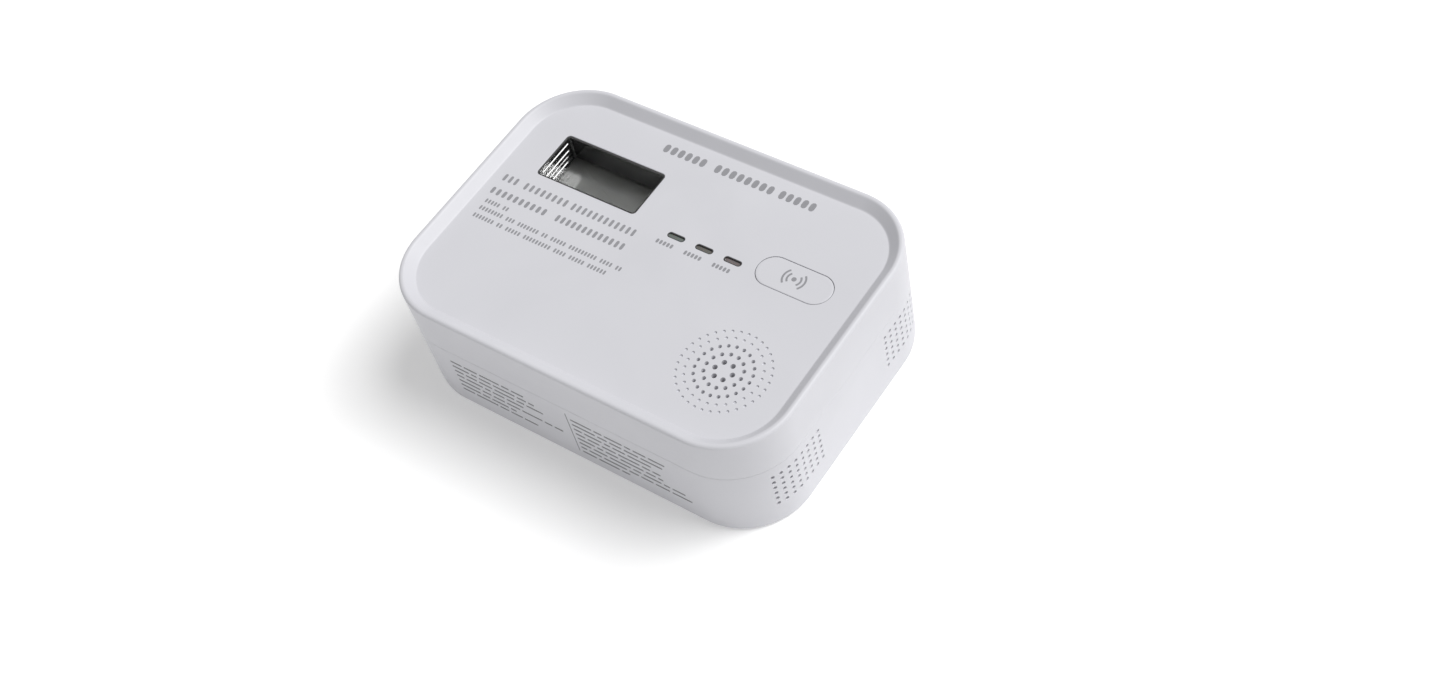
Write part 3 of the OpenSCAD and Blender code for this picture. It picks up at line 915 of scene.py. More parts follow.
def add_camera():
    """Camera above the near right corner, leaning a little."""
    eye = Vector((239.2, -209.3, 409.6)) * MM
    back = Vector((0.44226, -0.41412, 0.79556)).normalized()
    right = Vector((0.8158, 0.5543, -0.16498)).normalized()
    up = back.cross(right)
    camera_data = bpy.data.cameras.new("camera")
    camera = bpy.data.objects.new("camera", camera_data)
    bpy.context.collection.objects.link(camera)
    turn = Matrix((right, up, back)).transposed()
    camera.matrix_world = Matrix.Translation(eye) @ turn.to_4x4()
    camera_data.sensor_width = 36
    camera_data.lens = 47.92
    camera_data.clip_start = 0.01
    bpy.context.scene.camera = camera


def add_softbox(name, toward, distance, size, power):
    """A square area light, in metres, that faces the object from a direction."""
    lamp = bpy.data.lights.new(name, "AREA")
    lamp.shape = "SQUARE"
    lamp.size = size
    lamp.energy = power
    light = bpy.data.objects.new(name, lamp)
    bpy.context.collection.objects.link(light)
    middle = Vector((0, 0, 0.02))
    light.location = middle + Vector(toward).normalized() * distance
    light.rotation_euler = (middle - light.location).to_track_quat("-Z", "Y").to_euler()


def add_key(name, toward, strength, spread_angle):
    """A very broad, even light from a direction, as from a large diffuser."""
    lamp = bpy.data.lights.new(name, "SUN")
    lamp.energy = strength
    lamp.angle = math.radians(spread_angle)
    light = bpy.data.objects.new(name, lamp)
    bpy.context.collection.objects.link(light)
    light.rotation_euler = Vector(toward).to_track_quat("Z", "Y").to_euler()


def add_lights():
    """A broad key light from the far right, a smaller one that catches the well's ribs, and a pale room."""
    add_key("key_light", (0.38, 0.32, 0.75), 2.2, 38)
    add_softbox("edge_light", (0.468, 0.414, 0.78), 1.3, 0.25, 1.8)
    world = bpy.data.worlds.new("room")
    world.use_nodes = True
    sky = world.node_tree.nodes["Background"]
    sky.inputs["Color"].default_value = (1.0, 1.0, 1.0, 1)
    sky.inputs["Strength"].default_value = 0.36
    bpy.context.scene.world = world
    bpy.context.scene.view_settings.view_transform = "Standard"


def add_floor():
    """Plain pale floor, a light table that glows a little."""
    deselect()
    just_below = -0.1 * MM
    bpy.ops.mesh.primitive_plane_add(size=6, location=(0, 0, just_below))
    floor = bpy.context.object
    floor.name = "floor"
    floor.data.materials.append(
        finish(
            "floor_acrylic", "moulded_grain", 400,
            [(0.85, 0.85, 0.85), (0.87, 0.87, 0.87)],
            (0.85, 0.95), 0.02, 0.05,
            Emission_Color=(1, 1, 1, 1), Emission_Strength=0.24,
        )
    )

# ---------------------------------------------------------------- casing


def eased(share, soft):
    """A straight ramp from 0 to 1 with a soft start and end."""
    if share < soft:
        return share**2 / (2 * soft * (1 - soft))
    if share > 1 - soft:
        return 1 - (1 - share) ** 2 / (2 * soft * (1 - soft))
    return (share - soft / 2) / (1 - soft)


def grille_tool():
    """Cutters of the sounder grille: three rings of holes and two of blind dimples."""
    holes = []
    for ring, (ring_r, count, hole_r) in enumerate(zip(RING_R, RING_COUNT, RING_HOLE_R)):
        depth = PLATE + LAP if ring < OPEN_RINGS else DIMPLE_DEPTH
        hole = flared_hole("hole", hole_r, PANEL_Z, depth, HOLE_FLARE, 16)
        for k in range(count):
            turn = 2 * math.pi * k / count
            x = GRILLE.x + ring_r * math.cos(turn)
            y = GRILLE.y + ring_r * math.sin(turn)
            holes.append(copy_at(hole, x, y))
        discard(hole)
    return join(holes, "grille_tool")


def make_front_cover():
    """Front cover: a wall with a raised rim round a sunk panel, its openings, and the bosses inside."""
    cover = casing_face("front_shell", SPLIT_Z)
    extrude(CREST_Z - SPLIT_Z)
    pull_in(-lean(SPLIT_Z))
    round_over(RIM_R, 8)
    step(RIM_FLAT)
    slope_steps = 12
    fall = [PANEL_DEPTH * eased(k / slope_steps, RIM_SOFT) for k in range(slope_steps + 1)]
    for a, b in zip(fall, fall[1:]):
        step((RIM_W - RIM_R - RIM_FLAT) / slope_steps, a - b)
    face_out()
    pick_level_edges(cover, SPLIT_Z)
    bevel(SEAM)
    # recess for the rear housing's tongue, then the inside of the wall up to the panel
    pick_cap(cover, SPLIT_Z, -1)
    step(LIP_T - LIP_GAP - SEAM)
    extrude(LIP_H + LIP_GAP)
    step(WALL - LIP_T + LIP_GAP)
    fillet = 1.5
    extrude(PANEL_UNDER - fillet - SPLIT_Z - LIP_H - LIP_GAP)
    round_over(fillet, 4)
    close(cover)
    root = PANEL_UNDER + LAP
    boss_end = SCREW_WELL_TOP + BOSS_GAP
    holder_end = PANEL_UNDER - HOLDER_H
    bosses = [column("screw_boss", at, SCREW_BOSS_R, boss_end, root) for at in SCREW_PLACES]
    bosses += [column("board_boss", at, BOARD_BOSS_R, BOARD_HIGH.z, root) for at in BOARD_SCREWS]
    holder = column("sounder_holder", GRILLE, HOLDER_R, holder_end, root, 64)
    cut(holder, column("holder_bore", GRILLE, HOLDER_R - HOLDER_WALL, holder_end - LAP, PANEL_UNDER, 64))
    fuse(cover, join([*bosses, holder], "inside_bosses"))
    screw_bore_r = SCREW_SHANK_R + THREAD_GRIP
    board_bore_r = BOARD_SHANK_R + THREAD_GRIP
    bores = [column("bore", at, screw_bore_r, SCREW_WEB_Z, PANEL_UNDER - 3) for at in SCREW_PLACES]
    bores += [column("bore", at, board_bore_r, BOARD_HIGH.z - LAP, PANEL_UNDER - 2) for at in BOARD_SCREWS]
    through = PLATE + LAP
    slots = [
        flared_tool("slot_tool", centre_of(pipe), SLOT_L, SLOT_W, SLOT_W, PANEL_Z, through, 0.12)
        for pipe in PIPES
    ]
    gap = 2 * BUTTON_GAP
    button_tool = flared_tool(
        "button_tool", BUTTON, BUTTON_L + gap, BUTTON_W + gap, BUTTON_W, PANEL_Z, through, 0.1, 16
    )
    lcd_tool = flared_tool("lcd_tool", LCD, LCD_L, LCD_W, LCD_R, PANEL_Z, through, 0.15)
    cut(cover, join([lcd_tool, button_tool, *slots, grille_tool(), *bores], "panel_tools"))
    smooth(cover)
    return set_piece(cover, "case", "casing_white", CASING, "front_cover")


def vent_tool():
    """Cutters of the vents: eight columns round each corner, six rows each."""
    straight = HALF_W - CORNER_R
    hole = flared_hole("vent", VENT_R, 0, WALL + LAP, VENT_FLARE, 12)
    turn_about(hole, "Y", 90)
    vents = []
    for column_index in range(VENT_COLUMNS):
        along = VENT_START + column_index * VENT_PITCH
        turn = max(0.0, along - straight) / CORNER_R
        for row in range(VENT_ROWS):
            z = VENT_TOP_Z - row * VENT_ROW
            reach = CORNER_R - lean(z)
            x = HALF_L - CORNER_R + reach * math.cos(turn)
            y = min(along, straight) + reach * math.sin(turn)
            for x_side in (1, -1):
                for y_side in (1, -1):
                    vent = hole.copy()
                    vent.data = hole.data.copy()
                    bpy.context.collection.objects.link(vent)
                    heading = math.atan2(y_side * math.sin(turn), x_side * math.cos(turn))
                    place = Matrix.Translation(Vector((x_side * x, y_side * y, z)) * MM)
                    vent.data.transform(place @ Matrix.Rotation(heading, 4, "Z"))
                    vents.append(vent)
    discard(hole)
    return join(vents, "vent_tool")


def make_label_room():
    """Cutter of the shallow seat that the rating label sits in."""
    margin = 0.6
    size = LABEL_HIGH - LABEL_LOW
    corner_r = 1.2
    at = centre_of("rating_label")
    return lug("label_room", at, size.x + margin, size.y + margin, corner_r, -LAP, LABEL_SEAT)


def make_rear_housing():
    """Rear housing: wall with a tongue, back plate, battery bay, screw wells, keyholes and vents."""
    housing = casing_face("rear_shell", SPLIT_Z)
    extrude(FOOT_Z - SPLIT_Z)
    pull_in(lean(FOOT_Z) - lean(SPLIT_Z))
    step(FOOT_STEP, -FOOT_STEP)
    extrude(BACK_EDGE_R - FOOT_Z + FOOT_STEP)
    round_over(BACK_EDGE_R, 6, -1)
    face_out()
    pick_level_edges(housing, SPLIT_Z)
    bevel(SEAM)
    # tongue, then the inside down to the back plate
    pick_cap(housing, SPLIT_Z, 1)
    chamfer = 0.3
    step(LIP_T - SEAM)
    extrude(LIP_H - chamfer)
    step(chamfer, chamfer)
    step(WALL - LIP_T - 2 * chamfer)
    step(chamfer, -chamfer)
    fillet = 1.2
    extrude(PLATE + fillet - SPLIT_Z - LIP_H + chamfer)
    round_over(fillet, 4, -1)
    close(housing)

    base = PLATE - LAP
    door_side = DOOR_HALF_W + DOOR_GAP
    door_far = DOOR_END + DOOR_GAP
    tray_low = (DOOR_OUT - TRAY_WALL, -door_side - TRAY_WALL, base)
    tray_high = (door_far + TRAY_WALL, door_side + TRAY_WALL, TRAY_TOP)
    bay_low = (BAY_X0 - BAY_WALL, -BAY_HALF_W - BAY_WALL, base)
    bay_high = (BAY_X1 + BAY_WALL, BAY_HALF_W + BAY_WALL, BAY_TOP + BAY_WALL)
    fuse(housing, block("tray", tray_low, tray_high, 0.4), block("bay", bay_low, bay_high, 0.8))
    bearing_y = door_side - LAP
    bearing_end = door_side + PIN_REACH + 0.4
    bearing_half_l = 2.2
    bearings = [
        block(
            "bearing",
            (HINGE_X - bearing_half_l, min(side * bearing_y, side * bearing_end), base),
            (HINGE_X + bearing_half_l, max(side * bearing_y, side * bearing_end), TRAY_TOP - 0.4),
        )
        for side in (-1, 1)
    ]
    fuse(housing, join(bearings, "bearings"))
    wells = [column("screw_well", at, SCREW_BOSS_R, base, SCREW_WELL_TOP, 32, 0.3) for at in SCREW_PLACES]
    fuse(housing, join(wells, "screw_wells"))

    cut(housing, block("bay_room", (BAY_X0, -BAY_HALF_W, -LAP), (BAY_X1, BAY_HALF_W, BAY_TOP)))
    door_middle = ((door_far + DOOR_OUT) / 2, 0)
    door_corner_r = 1.2
    cut(
        housing,
        lug("door_room", door_middle, door_far - DOOR_OUT, 2 * door_side, door_corner_r, -LAP, DOOR_T + 0.2),
    )
    barrel_low = (DOOR_OUT, -door_side, -LAP)
    barrel_high = (HINGE_X + HINGE_R + DOOR_GAP, door_side, 2 * HINGE_R + DOOR_GAP)
    cut(housing, block("barrel_room", barrel_low, barrel_high))
    pin_end = door_side + PIN_REACH + 0.1
    cut(housing, rod_along_y("pin_room", HINGE_X, HINGE_R, HINGE_PIN_R + 0.05, -pin_end, pin_end))
    notch_r = 7
    notch_z = -5.6
    cut(housing, rod_along_y("thumb_notch", door_far + 1, notch_z, notch_r, -notch_r, notch_r, 96, 0.8))
    cut(housing, make_label_room())
    slot_w = 2 * KEYHOLE_SLOT_R
    slot_y = KEYHOLE_Y + KEYHOLE_TRAVEL / 2
    for x in (-KEYHOLE_X, KEYHOLE_X):
        entry = column("keyhole", (x, KEYHOLE_Y), KEYHOLE_R, -LAP, PLATE + LAP, 48)
        slot_end = PLATE + LAP
        slot = lug("keyslot", (x, slot_y), slot_w, KEYHOLE_TRAVEL + slot_w, KEYHOLE_SLOT_R, -LAP, slot_end)
        cut(housing, entry, slot)
    bore_end = SCREW_WELL_TOP + LAP
    for at in SCREW_PLACES:
        mouth = column("screw_mouth", at, SCREW_HEAD_R + 0.2, -LAP, SCREW_WEB_Z, 32)
        cut(housing, mouth, column("screw_bore", at, SCREW_SHANK_R + 0.3, -LAP, bore_end, 24))
    cut(housing, vent_tool())
    smooth(housing)
    return set_piece(housing, "case", "casing_white", CASING, "rear_housing")


def make_battery_door():
    """Battery door: a bevelled plate with a hinge barrel, pins, ribs, grip grooves and an opening mark."""
    middle = ((HINGE_X + DOOR_END) / 2, 0)
    door = lug("door_panel", middle, DOOR_END - HINGE_X, 2 * DOOR_HALF_W, 1.0, 0, DOOR_T)
    edit(door, "EDGE")
    for level in (0, DOOR_T):
        pick_level_edges(door, level)
        bevel(0.3, 3)
    leave()
    ribs = [
        block(
            "door_rib",
            (BAY_X0 + 3, side * CELL_PITCH / 2 - 0.5, DOOR_T - 0.4),
            (BAY_X1 - 4, side * CELL_PITCH / 2 + 0.5, DOOR_T + 2),
            0.25,
        )
        for side in (-1, 1)
    ]
    fuse(door, join(ribs, "door_ribs"))
    fuse(door, rod_along_y("barrel", HINGE_X, HINGE_R, HINGE_R, -DOOR_HALF_W, DOOR_HALF_W, 48, 0.2))
    fuse(door, rod_along_y("pins", HINGE_X, HINGE_R, HINGE_PIN_R, DOOR_LOW.y, DOOR_HIGH.y, 32, 0.2))
    groove_x = DOOR_END - 8.6
    groove_pitch = 1.8
    grooves = [
        rod_along_y("groove", groove_x + k * groove_pitch, -0.15, 0.55, -7, 7, 24, 0.3) for k in range(4)
    ]
    arrow_x = DOOR_END - 14
    arrow_depth = 0.3
    arrow = disc("arrow", (arrow_x, 0), 3.2, -LAP, 3)
    extrude(LAP + arrow_depth)
    close(arrow)
    turn_about(arrow, "Z", -90, (arrow_x, 0, 0))
    cut(door, join(grooves, "grooves"), arrow)
    smooth(door)
    return set_piece(door, "battery_door", "door_white", DOOR_PAINT, "battery_door")


def make_case_screws():
    """Four pan-head screws with a cross recess and threaded shanks."""
    head_top = SCREW_WEB_Z
    screw = disc("screw", (0, 0), SCREW_HEAD_R, head_top, 40)
    extrude(-0.5)
    for inward, along in arc_steps(1.3, 6):
        step(inward * 0.9, -along)
    close(screw)
    pitch = 0.9
    turns = 13
    core_r = SCREW_SHANK_R - 0.22
    shank = disc("shank", (0, 0), core_r, head_top - 0.2, 24)
    extrude(0.4)
    for _ in range(turns):
        for ratio in (SCREW_SHANK_R / core_r, core_r / SCREW_SHANK_R):
            extrude(pitch * 0.35)
            bpy.ops.transform.resize(value=(ratio, ratio, 1))
            extrude(pitch * 0.15)
    step(0.7, 0.8)
    close(shank)
    fuse(screw, shank)
    arm_l = 1.45
    arm_w = 0.3
    recess_low = SCREWS_LOW.z - LAP
    recess_high = SCREWS_LOW.z + 1.1
    cross = block("cross", (-arm_l, -arm_w, recess_low), (arm_l, arm_w, recess_high))
    fuse(cross, block("cross_arm", (-arm_w, -arm_l, recess_low), (arm_w, arm_l, recess_high)))
    cut(screw, cross)
    screws = [copy_at(screw, x, y) for x, y in SCREW_PLACES]
    discard(screw)
    screws = join(screws, "corner_screws")
    smooth(screws)
    return set_piece(screws, "case", "steel", STEEL, "case_screws")


# ---------------------------------------------------------------- display, indicators and button


def make_display_well():
    """Black insert of the display: a shroud with ribbed short walls over a seat for the lens."""
    size = WELL_HIGH - WELL_LOW
    flange_top = LENS_HIGH.z + 1.6
    frame_piece = lug("well", LCD, size.x, size.y, 1.5, WELL_LOW.z, flange_top)
    gap = 0.1
    chamfer = 0.15
    shroud = outline("shroud", LCD, LCD_L - gap, LCD_W - gap, LCD_R - gap / 2, flange_top - LAP)
    extrude(PANEL_Z - chamfer - flange_top + LAP)
    close(shroud)
    fuse(frame_piece, shroud)
    narrower = 2 * (SHROUD - chamfer)
    opening = outline(
        "opening", LCD, LCD_L - narrower, LCD_W - narrower, LCD_R - SHROUD + chamfer, PANEL_Z + LAP
    )
    extrude(-LAP - chamfer)
    step(chamfer, -chamfer)
    extrude(WELL_LOW.z - LAP - PANEL_Z)
    close(opening)
    seat_size = LENS_HIGH - LENS_LOW + Vector((0.2, 0.2, 0.02))
    seat = lug("lens_seat", LCD, seat_size.x, seat_size.y, 0.5, WELL_LOW.z - LAP, LENS_LOW.z + seat_size.z)
    cut(frame_piece, opening, seat)
    ribs = []
    for side in (-1, 1):
        rib_x = LCD.x + side * (LCD_L / 2 - SHROUD + 0.02)
        for depth, radius in WELL_RIBS:
            ribs.append(
                rod_along_y("rib", rib_x, PANEL_Z - depth, radius, LCD.y - RIB_END, LCD.y + RIB_END, 6, 0.05)
            )
    fuse(frame_piece, join(ribs, "ribs"))
    smooth(frame_piece)
    return set_piece(frame_piece, "case", "well_black", WELL_BLACK, "lcd_frame")


def make_lens():
    """Clear lens with bevelled edges over the display."""
    size = LENS_HIGH - LENS_LOW
    lens = lug("lens", centre_of("lcd_lens"), size.x, size.y, 0.4, LENS_LOW.z, LENS_HIGH.z)
    edit(lens, "EDGE")
    for level in (LENS_LOW.z, LENS_HIGH.z):
        pick_level_edges(lens, level)
        bevel(0.12, 2)
    leave()
    smooth(lens)
    return set_piece(lens, "case", "clear_lens", LENS_CLEAR, "lcd_lens")


def make_display():
    """Display: two glass plates, the upper one short of the lower at its contact ledges."""
    size = GLASS_HIGH - GLASS_LOW
    middle = (GLASS_LOW.z + GLASS_HIGH.z) / 2
    glass = lug("display_plates", centre_of("lcd_glass"), size.x, size.y, 0.3, GLASS_LOW.z, middle)
    edit(glass)
    pick_cap(glass, middle, 1)
    ledge = 0.25
    chamfer = 0.1
    step(ledge)
    extrude(GLASS_HIGH.z - middle - chamfer)
    step(chamfer, chamfer)
    leave()
    smooth(glass)
    return set_piece(glass, "case", "display_grey", DISPLAY_GREY, "lcd_glass")


def make_light_pipe(node, slot, material):
    """Light pipe: a domed pill sunk in its slot, a flange under the panel and a stem down to the lamp."""
    at = centre_of(node)
    low, high = box_mm(node)
    flange_t = 0.95
    chamfer = 0.1
    dome = 0.3
    stem_r = 1.2
    pipe = outline("pipe", at, SLOT_L + 1.2, SLOT_W + 1.0, SLOT_W, PANEL_UNDER - 1)
    extrude(flange_t - chamfer)
    step(chamfer, chamfer)
    step(0.5)
    extrude(high.z - PANEL_UNDER - 0.25)
    round_over(dome, 4)
    close(pipe)
    fuse(pipe, column("stem", at, stem_r, low.z, PANEL_UNDER - 0.8, 24, 0))
    pipe.name = node.replace("light_pipe", "slot_pipe")
    pipe.data.name = pipe.name
    smooth(pipe)
    return set_piece(pipe, "case", slot, material, node)


def make_slot_painted_shade():
    """Dark sleeves in the three slots round the light pipes, flush with the panel: painted shade that stands
    in for the shadowed gap between each pipe and its slot.
    """
    gap = 0.04
    chamfer = 0.05
    wall = 0.22
    shade_sleeves = []
    for pipe in PIPES:
        shade_sleeve = outline("shade_sleeve", centre_of(pipe), SLOT_L - gap, SLOT_W - gap, SLOT_W, PANEL_Z - 0.75)
        extrude(0.6)
        step(chamfer, chamfer)
        step(wall - chamfer)
        extrude(-0.6)
        shade_sleeves.append(close(shade_sleeve))
    shade_sleeves = join(shade_sleeves, "slot_painted_shade")
    smooth(shade_sleeves)
    return set_piece(shade_sleeves, "case", "well_black", WELL_BLACK)


def make_button():
    """Test button: a pill with a rounded edge and a slightly dished top, on a flange and a stem."""
    length = BUTTON_L + 2 * FLANGE
    width = BUTTON_W + 2 * FLANGE
    button = outline("button_cap", BUTTON, length, width, BUTTON_W, PANEL_UNDER - 1.3, 20)
    chamfer = 0.15
    extrude(1.1)
    step(chamfer, chamfer)
    step(FLANGE - chamfer)
    edge = 0.22
    extrude(PANEL_Z - edge - PANEL_UNDER + 0.05)
    round_over(edge, 4)
    for dish in (0.01, 0.02):
        step(0.8, -dish)
    close(button)
    fuse(button, column("button_stem", BUTTON, 1.6, BUTTON_LOW.z, PANEL_UNDER - 1.2, 32))
    smooth(button)
    return set_piece(button, "test_button", "casing_white", CASING, "test_button")


# ---------------------------------------------------------------- prints

INK = 0.03
# low and high edge of a line, then the start, end and number of blocks of each word
HEADER = (31.9, 35.8, [(-18.3, -4.1, 6), (-1.6, 17.5, 8), (18.8, 30.5, 5)])
LARGE_LINES = [
    (4.1, 7.4, [(-52.5, -46.8, 3), (-45.2, -29.8, 8), (-29.0, -7.3, 12)]),
    (-0.9, 2.2, [(-52.9, -33.3, 10), (-30.6, -7.4, 13)]),
]
# share of its pitch that a block takes up, in the header and in the two large lines
LINE_FILLS = (0.7, 0.46, 0.52)
# height, start and end of each line of small print
SMALL_LINES = [(-3.1, -52, -43), (-5.7, -52, -3.7), (-8.5, -52, -5)]
SMALL_H = 1.9
SMALL_PITCH = 1.02
SMALL_FILL = 0.56
# place of the word under a slot, from the slot's centre, and half of its size
SLOT_WORD = Vector((-1.3, -3.2, 0))
SLOT_WORD_HALF = Vector((2.8, 0.95, 0))
SLOT_FILL = 0.66
# height of a block as a share of its line, and corner radius of a bar as a share of its height
BLOCK_SHARE = 0.74
CORNER_SHARE = 0.3
WORDS = (4.8, 5.6, 8.4, 3.2, 7.0, 2.4, 5.0, 9.2, 3.8)
WORD_GAP = 0.78
FINE_SHARE = 0.8
# height over the back and far end of each row of fine print on the near wall
LEFT_ROWS = [
    (19.9, -13.8),
    (17.8, -10.9),
    (15.7, -8.3),
    (13.6, -15.8),
    (11.4, -3.1),
    (9.3, -18.5),
    (7.3, -12.3),
]
RIGHT_ROWS = [
    (20.3, 31.5),
    (18.2, 30.8),
    (16.1, 27.7),
    (13.9, 28.8),
    (11.8, 29.2),
    (9.7, 36.5),
    (7.6, 37.3),
    (5.5, 18.8),
]
LEFT_START = -38.6
RIGHT_START = 1.8
FINE_H = 0.6


def ink_bar(x0, x1, y, height, z):
    """A flat bar of ink with rounded ends, centred on height y."""
    bar = outline("bar", ((x0 + x1) / 2, y), x1 - x0, height, height * CORNER_SHARE, z, 2)
    extrude(INK)
    return close(bar)


def letter_blocks(x0, x1, count, y0, y1, z, fill):
    """One word: a row of blank blocks in place of its letters. fill is a block's share of its pitch."""
    pitch = (x1 - x0) / count
    first = ink_bar(x0, x0 + pitch * fill, (y0 + y1) / 2, (y1 - y0) * BLOCK_SHARE, z)
    return [first] + [copy_at(first, k * pitch) for k in range(1, count)]


def word_bars(x0, x1, y, height, z, first_word):
    """One line of fine print: plain bars of word length."""
    bars = []
    x = x0
    word = first_word
    shortest = 1.0
    while x < x1 - shortest:
        end = min(x + WORDS[word % len(WORDS)] * FINE_SHARE, x1)
        bars.append(ink_bar(x, end, y, height, z))
        x = end + WORD_GAP
        word += 1
    return bars


def small_words(x0, x1, y, z, first_word):
    """One line of small print on the panel: words of blank blocks."""
    blocks = []
    x = x0
    word = first_word
    while x < x1 - 2 * SMALL_PITCH:
        letters = min(round(WORDS[word % len(WORDS)]), int((x1 - x) / SMALL_PITCH))
        end = x + letters * SMALL_PITCH
        blocks += letter_blocks(x, end, letters, y - SMALL_H / 2, y + SMALL_H / 2, z, SMALL_FILL)
        x = end + SMALL_PITCH
        word += 1
    return blocks


def ink_ring(centre, outer, inner, z, half_angle=180.0):
    """A ring of ink, or two facing arcs of one when half_angle is under 90 degrees."""
    ring = disc("ring", centre, outer, z, 48)
    step(outer - inner)
    bpy.ops.mesh.delete(type="FACE")
    if half_angle < 90:

        def off_side(face):
            offset = face.calc_center_median() / MM - Vector((centre[0], centre[1], z))
            return abs(math.degrees(math.atan2(offset.y, abs(offset.x)))) > half_angle

        pick_faces(ring, off_side)
        bpy.ops.mesh.delete(type="FACE")
    bpy.ops.mesh.select_all(action="SELECT")
    extrude(INK)
    return close(ring)


def ink_dot(centre, radius, z):
    """A round dot of ink."""
    return column("dot", centre, radius, z, z + INK, 24)


def sound_mark(x, y, z, size):
    """Generic sound mark: a dot between pairs of arcs."""
    marks = [ink_dot((x, y), 0.28 * size, z)]
    for radius in (0.75, 1.25):
        marks.append(ink_ring((x, y), (radius + 0.16) * size, (radius - 0.06) * size, z, 42))
    return marks


def make_face_print():
    """Grey print of the panel: rows of blank blocks in place of words."""
    z = PANEL_Z
    inks = []
    for fill, (y0, y1, words) in zip(LINE_FILLS, [HEADER, *LARGE_LINES]):
        for x0, x1, count in words:
            inks += letter_blocks(x0, x1, count, y0, y1, z, fill)
    for number, (y, x0, x1) in enumerate(SMALL_LINES):
        inks += small_words(x0, x1, y, z, number * 2)
    for pipe in PIPES:
        word = centre_of(pipe) + SLOT_WORD
        low = word - SLOT_WORD_HALF
        high = word + SLOT_WORD_HALF
        inks += letter_blocks(low.x, high.x, 5, low.y, high.y, z, SLOT_FILL)
    face_print = join(inks, "face_print")
    smooth(face_print)
    return set_piece(face_print, "case", "print_grey", GREY_INK)


def make_button_print():
    """Grey sound mark on the test button."""
    top = PANEL_Z - 0.03
    button_print = join(sound_mark(BUTTON.x - 0.2, BUTTON.y + 0.2, top, 2.4), "button_print")
    smooth(button_print)
    return set_piece(button_print, "test_button", "print_grey", GREY_INK)


def make_side_print():
    """Grey small print on the near wall: two blocks of word-length bars with a divider between them."""
    divider = ink_bar(-8.7, 8.7, -0.3, 0.22, 0)
    turn_about(divider, "Z", 90)
    divider.data.transform(Matrix.Translation(Vector((0.3, 13.7, 0)) * MM))
    inks = [divider]
    for number, (height, end) in enumerate(LEFT_ROWS):
        inks += word_bars(LEFT_START, end, height, FINE_H, 0, number * 4)
    for number, (height, end) in enumerate(RIGHT_ROWS):
        inks += word_bars(RIGHT_START, end, height, FINE_H, 0, number * 5 + 2)
    side_print = join(inks, "side_print")
    tilt = math.degrees(math.atan2(DRAFT, CREST_Z))
    turn_about(side_print, "X", 90 + tilt)
    side_print.data.transform(Matrix.Translation(Vector((0, -(HALF_W - DRAFT), 0)) * MM))
    smooth(side_print)
    return set_piece(side_print, "case", "print_grey", FINE_INK)


# ---------------------------------------------------------------- back and battery bay


def make_label():
    """White rating label with round corners, and its plain bars and rings of ink."""
    low, high = LABEL_LOW, LABEL_HIGH
    label = outline("label", centre_of("rating_label"), high.x - low.x, high.y - low.y, 1.0, high.z)
    extrude(low.z + 0.02 - high.z)
    step(0.04, -0.02)
    close(label)
    smooth(label)
    set_piece(label, "case", "label_white", LABEL_WHITE, "rating_label")
    z = low.z - INK
    inks = []
    row_pitch = 2.6
    for row in range(9):
        end = high.x - 3.5 - (row % 3) * 4
        inks += word_bars(low.x + 2.5, end, high.y - 4 - row * row_pitch, 0.8, z, row * 3)
    mark_pitch = 10
    mark_y = low.y + 8
    for k in range(3):
        mark_x = low.x + 6.5 + k * mark_pitch
        inks.append(ink_ring((mark_x, mark_y), 3.0, 2.6, z))
        inks.append(ink_bar(mark_x - 1.4, mark_x + 1.4, mark_y, 0.6, z))
    label_print = join(inks, "label_print")
    smooth(label_print)
    return set_piece(label_print, "case", "print_grey", FINE_INK)


def make_cell(node, nub_side):
    """Battery cell: sleeve that wraps over both ends, a recessed rim and a stepped nub."""
    low, high = box_mm(node)
    half = (high.x - low.x) / 2
    nub_l = 1.5
    shoulder = half - nub_l
    nub_edge = 0.25
    body = column(node.replace("battery", "cell"), (0, 0), CELL_R, -half, shoulder, 64)
    edit(body, "EDGE")
    for level in (-half, shoulder):
        pick_level_edges(body, level)
        bevel(0.45, 4)
    # inset of each ring of the positive end, and how far it then rises or sinks
    pick_cap(body, shoulder, 1)
    for inset, rise in ((0.9, -0.35), (0.6, 0.2), (2.2, nub_l + 0.15 - nub_edge)):
        step(inset)
        extrude(rise)
    round_over(nub_edge, 3)
    # the same at the flat end, where a rise goes into the cell
    pick_cap(body, -half, -1)
    for inset, rise in ((0.8, 0.3), (0.5, -0.25)):
        step(inset)
        extrude(rise)
    leave()
    turn_about(body, "Y", 90 if nub_side > 0 else -90)
    at = centre_of(node)
    body.data.transform(Matrix.Translation(at * MM))
    smooth(body)
    return set_piece(body, "case", "cell_sleeve", CELL_FILM, node)


def make_springs():
    """Conical coil springs on the negative contacts."""
    low, high = box_mm("battery_springs")
    wire_r = 0.35
    turns = 4
    base_r = 4.4
    narrowing = 0.35
    height = 4.1
    springs = []
    for row, side in ((-1, 1), (0, -1), (1, 1)):
        base_x = low.x + wire_r if side > 0 else high.x - wire_r
        y = row * CELL_PITCH
        z = centre_of("battery_1").z
        steps = 20 * turns
        curve = bpy.data.curves.new("spring_line", "CURVE")
        curve.dimensions = "3D"
        curve.bevel_depth = wire_r * MM
        curve.bevel_resolution = 3
        curve.use_fill_caps = True
        line = curve.splines.new("POLY")
        line.points.add(steps)
        for k, point in enumerate(line.points):
            share = k / steps
            radius = base_r * (1 - narrowing * share)
            turn = 2 * math.pi * turns * share
            place = (base_x + side * height * share, y + radius * math.cos(turn), z + radius * math.sin(turn))
            point.co = (*(value * MM for value in place), 1)
        spring = bpy.data.objects.new("spring", curve)
        bpy.context.collection.objects.link(spring)
        choose(spring)
        bpy.ops.object.convert(target="MESH")
        springs.append(bpy.context.object)
    springs = join(springs, "coil_springs")
    smooth(springs)
    return set_piece(springs, "case", "spring_steel", SPRING, "battery_springs")


# ---------------------------------------------------------------- the whole object

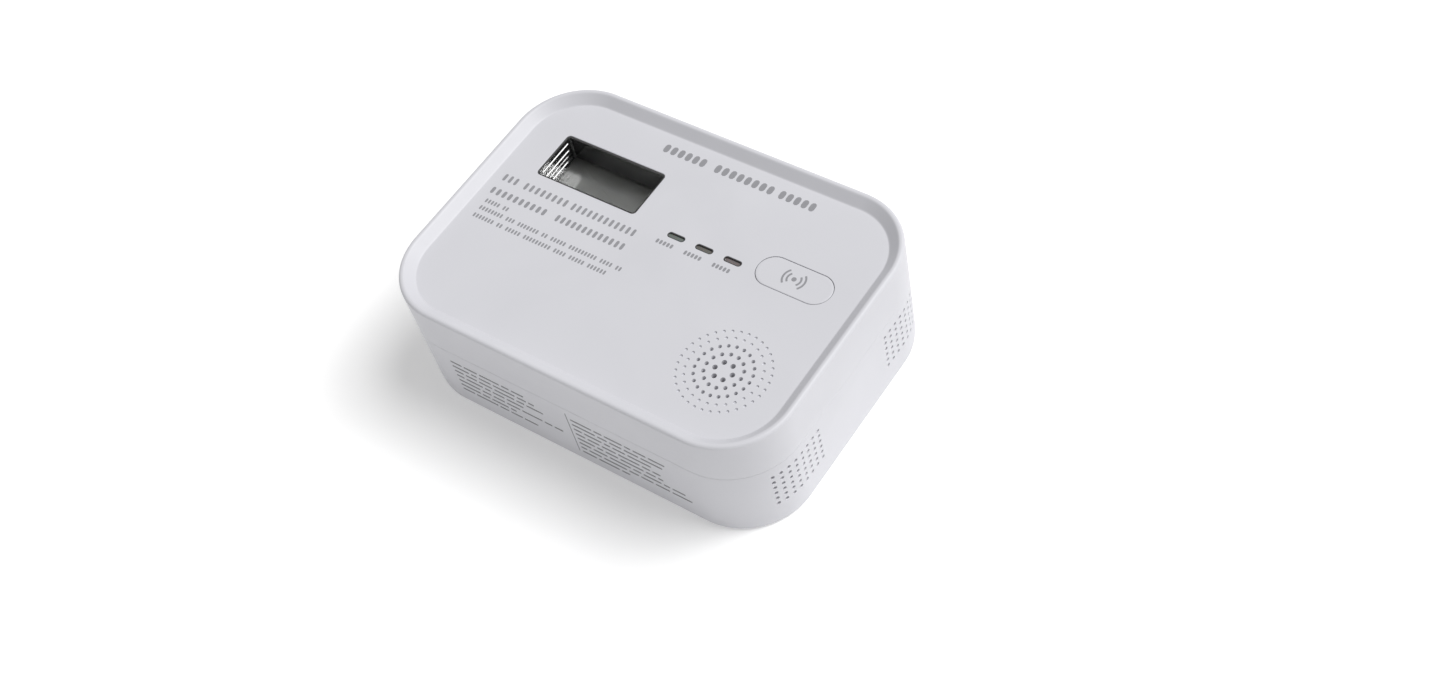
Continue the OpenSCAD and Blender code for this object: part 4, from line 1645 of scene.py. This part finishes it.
add_camera()
add_lights()
add_floor()

CASING = casing_plastic()
DOOR_PAINT = door_plastic()
WELL_BLACK = well_plastic()
LENS_CLEAR = lens_acrylic()
DISPLAY_GREY = display_glass()
GREY_INK = grey_ink()
FINE_INK = fine_ink()
BLACK = part_black()
STEEL = zinc_steel()
SPRING = nickel_spring()
BRASS = brass_sheet()
CELL_FILM = cell_film()
LABEL_WHITE = label_film()
LAMP = lamp_epoxy()

NODE_FINISHES = {
    "zebra_strips": strip_rubber(),
    "led_power": LAMP,
    "led_fault": LAMP,
    "led_alarm": LAMP,
    "tact_switch_body": BLACK,
    "tact_switch_plunger": BLACK,
    "main_board": board_mask(),
    "board_screws": STEEL,
    "microcontroller": BLACK,
    "boost_coil": sintered_ferrite(),
    "buffer_capacitor": shrink_sleeve(),
    "chip_resistors": BLACK,
    "sounder_case": BLACK,
    "sounder_gasket": closed_foam(),
    "piezo_disc": BRASS,
    "piezo_ceramic": fired_ceramic(),
    "sounder_leads": wire_jacket("red_jacket", (0.42, 0.03, 0.02)),
    "co_sensor_can": STEEL,
    "co_sensor_cap": BLACK,
    "sensor_filter": filter_membrane(),
    "sensor_pins": BRASS,
    "battery_contacts": SPRING,
    "battery_leads": wire_jacket("black_jacket", (0.015, 0.015, 0.016)),
}
for name, material in NODE_FINISHES.items():
    node_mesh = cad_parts[name].data
    node_mesh.materials.clear()
    node_mesh.materials.append(material)

make_front_cover()
make_rear_housing()
make_battery_door()
make_case_screws()
make_display_well()
make_lens()
make_display()
make_light_pipe("light_pipe_power", "pipe_green", pipe_plastic("green_pipe", (0.12, 0.135, 0.125)))
make_light_pipe("light_pipe_fault", "pipe_amber", pipe_plastic("amber_pipe", (0.135, 0.13, 0.12)))
make_light_pipe("light_pipe_alarm", "pipe_red", pipe_plastic("red_pipe", (0.14, 0.12, 0.12)))
# painted shade: dark sleeves in the slots round the light pipes
make_slot_painted_shade()
make_button()
make_face_print()
make_button_print()
make_side_print()
make_label()
make_cell("battery_1", 1)
make_cell("battery_2", -1)
make_cell("battery_3", 1)
make_springs()
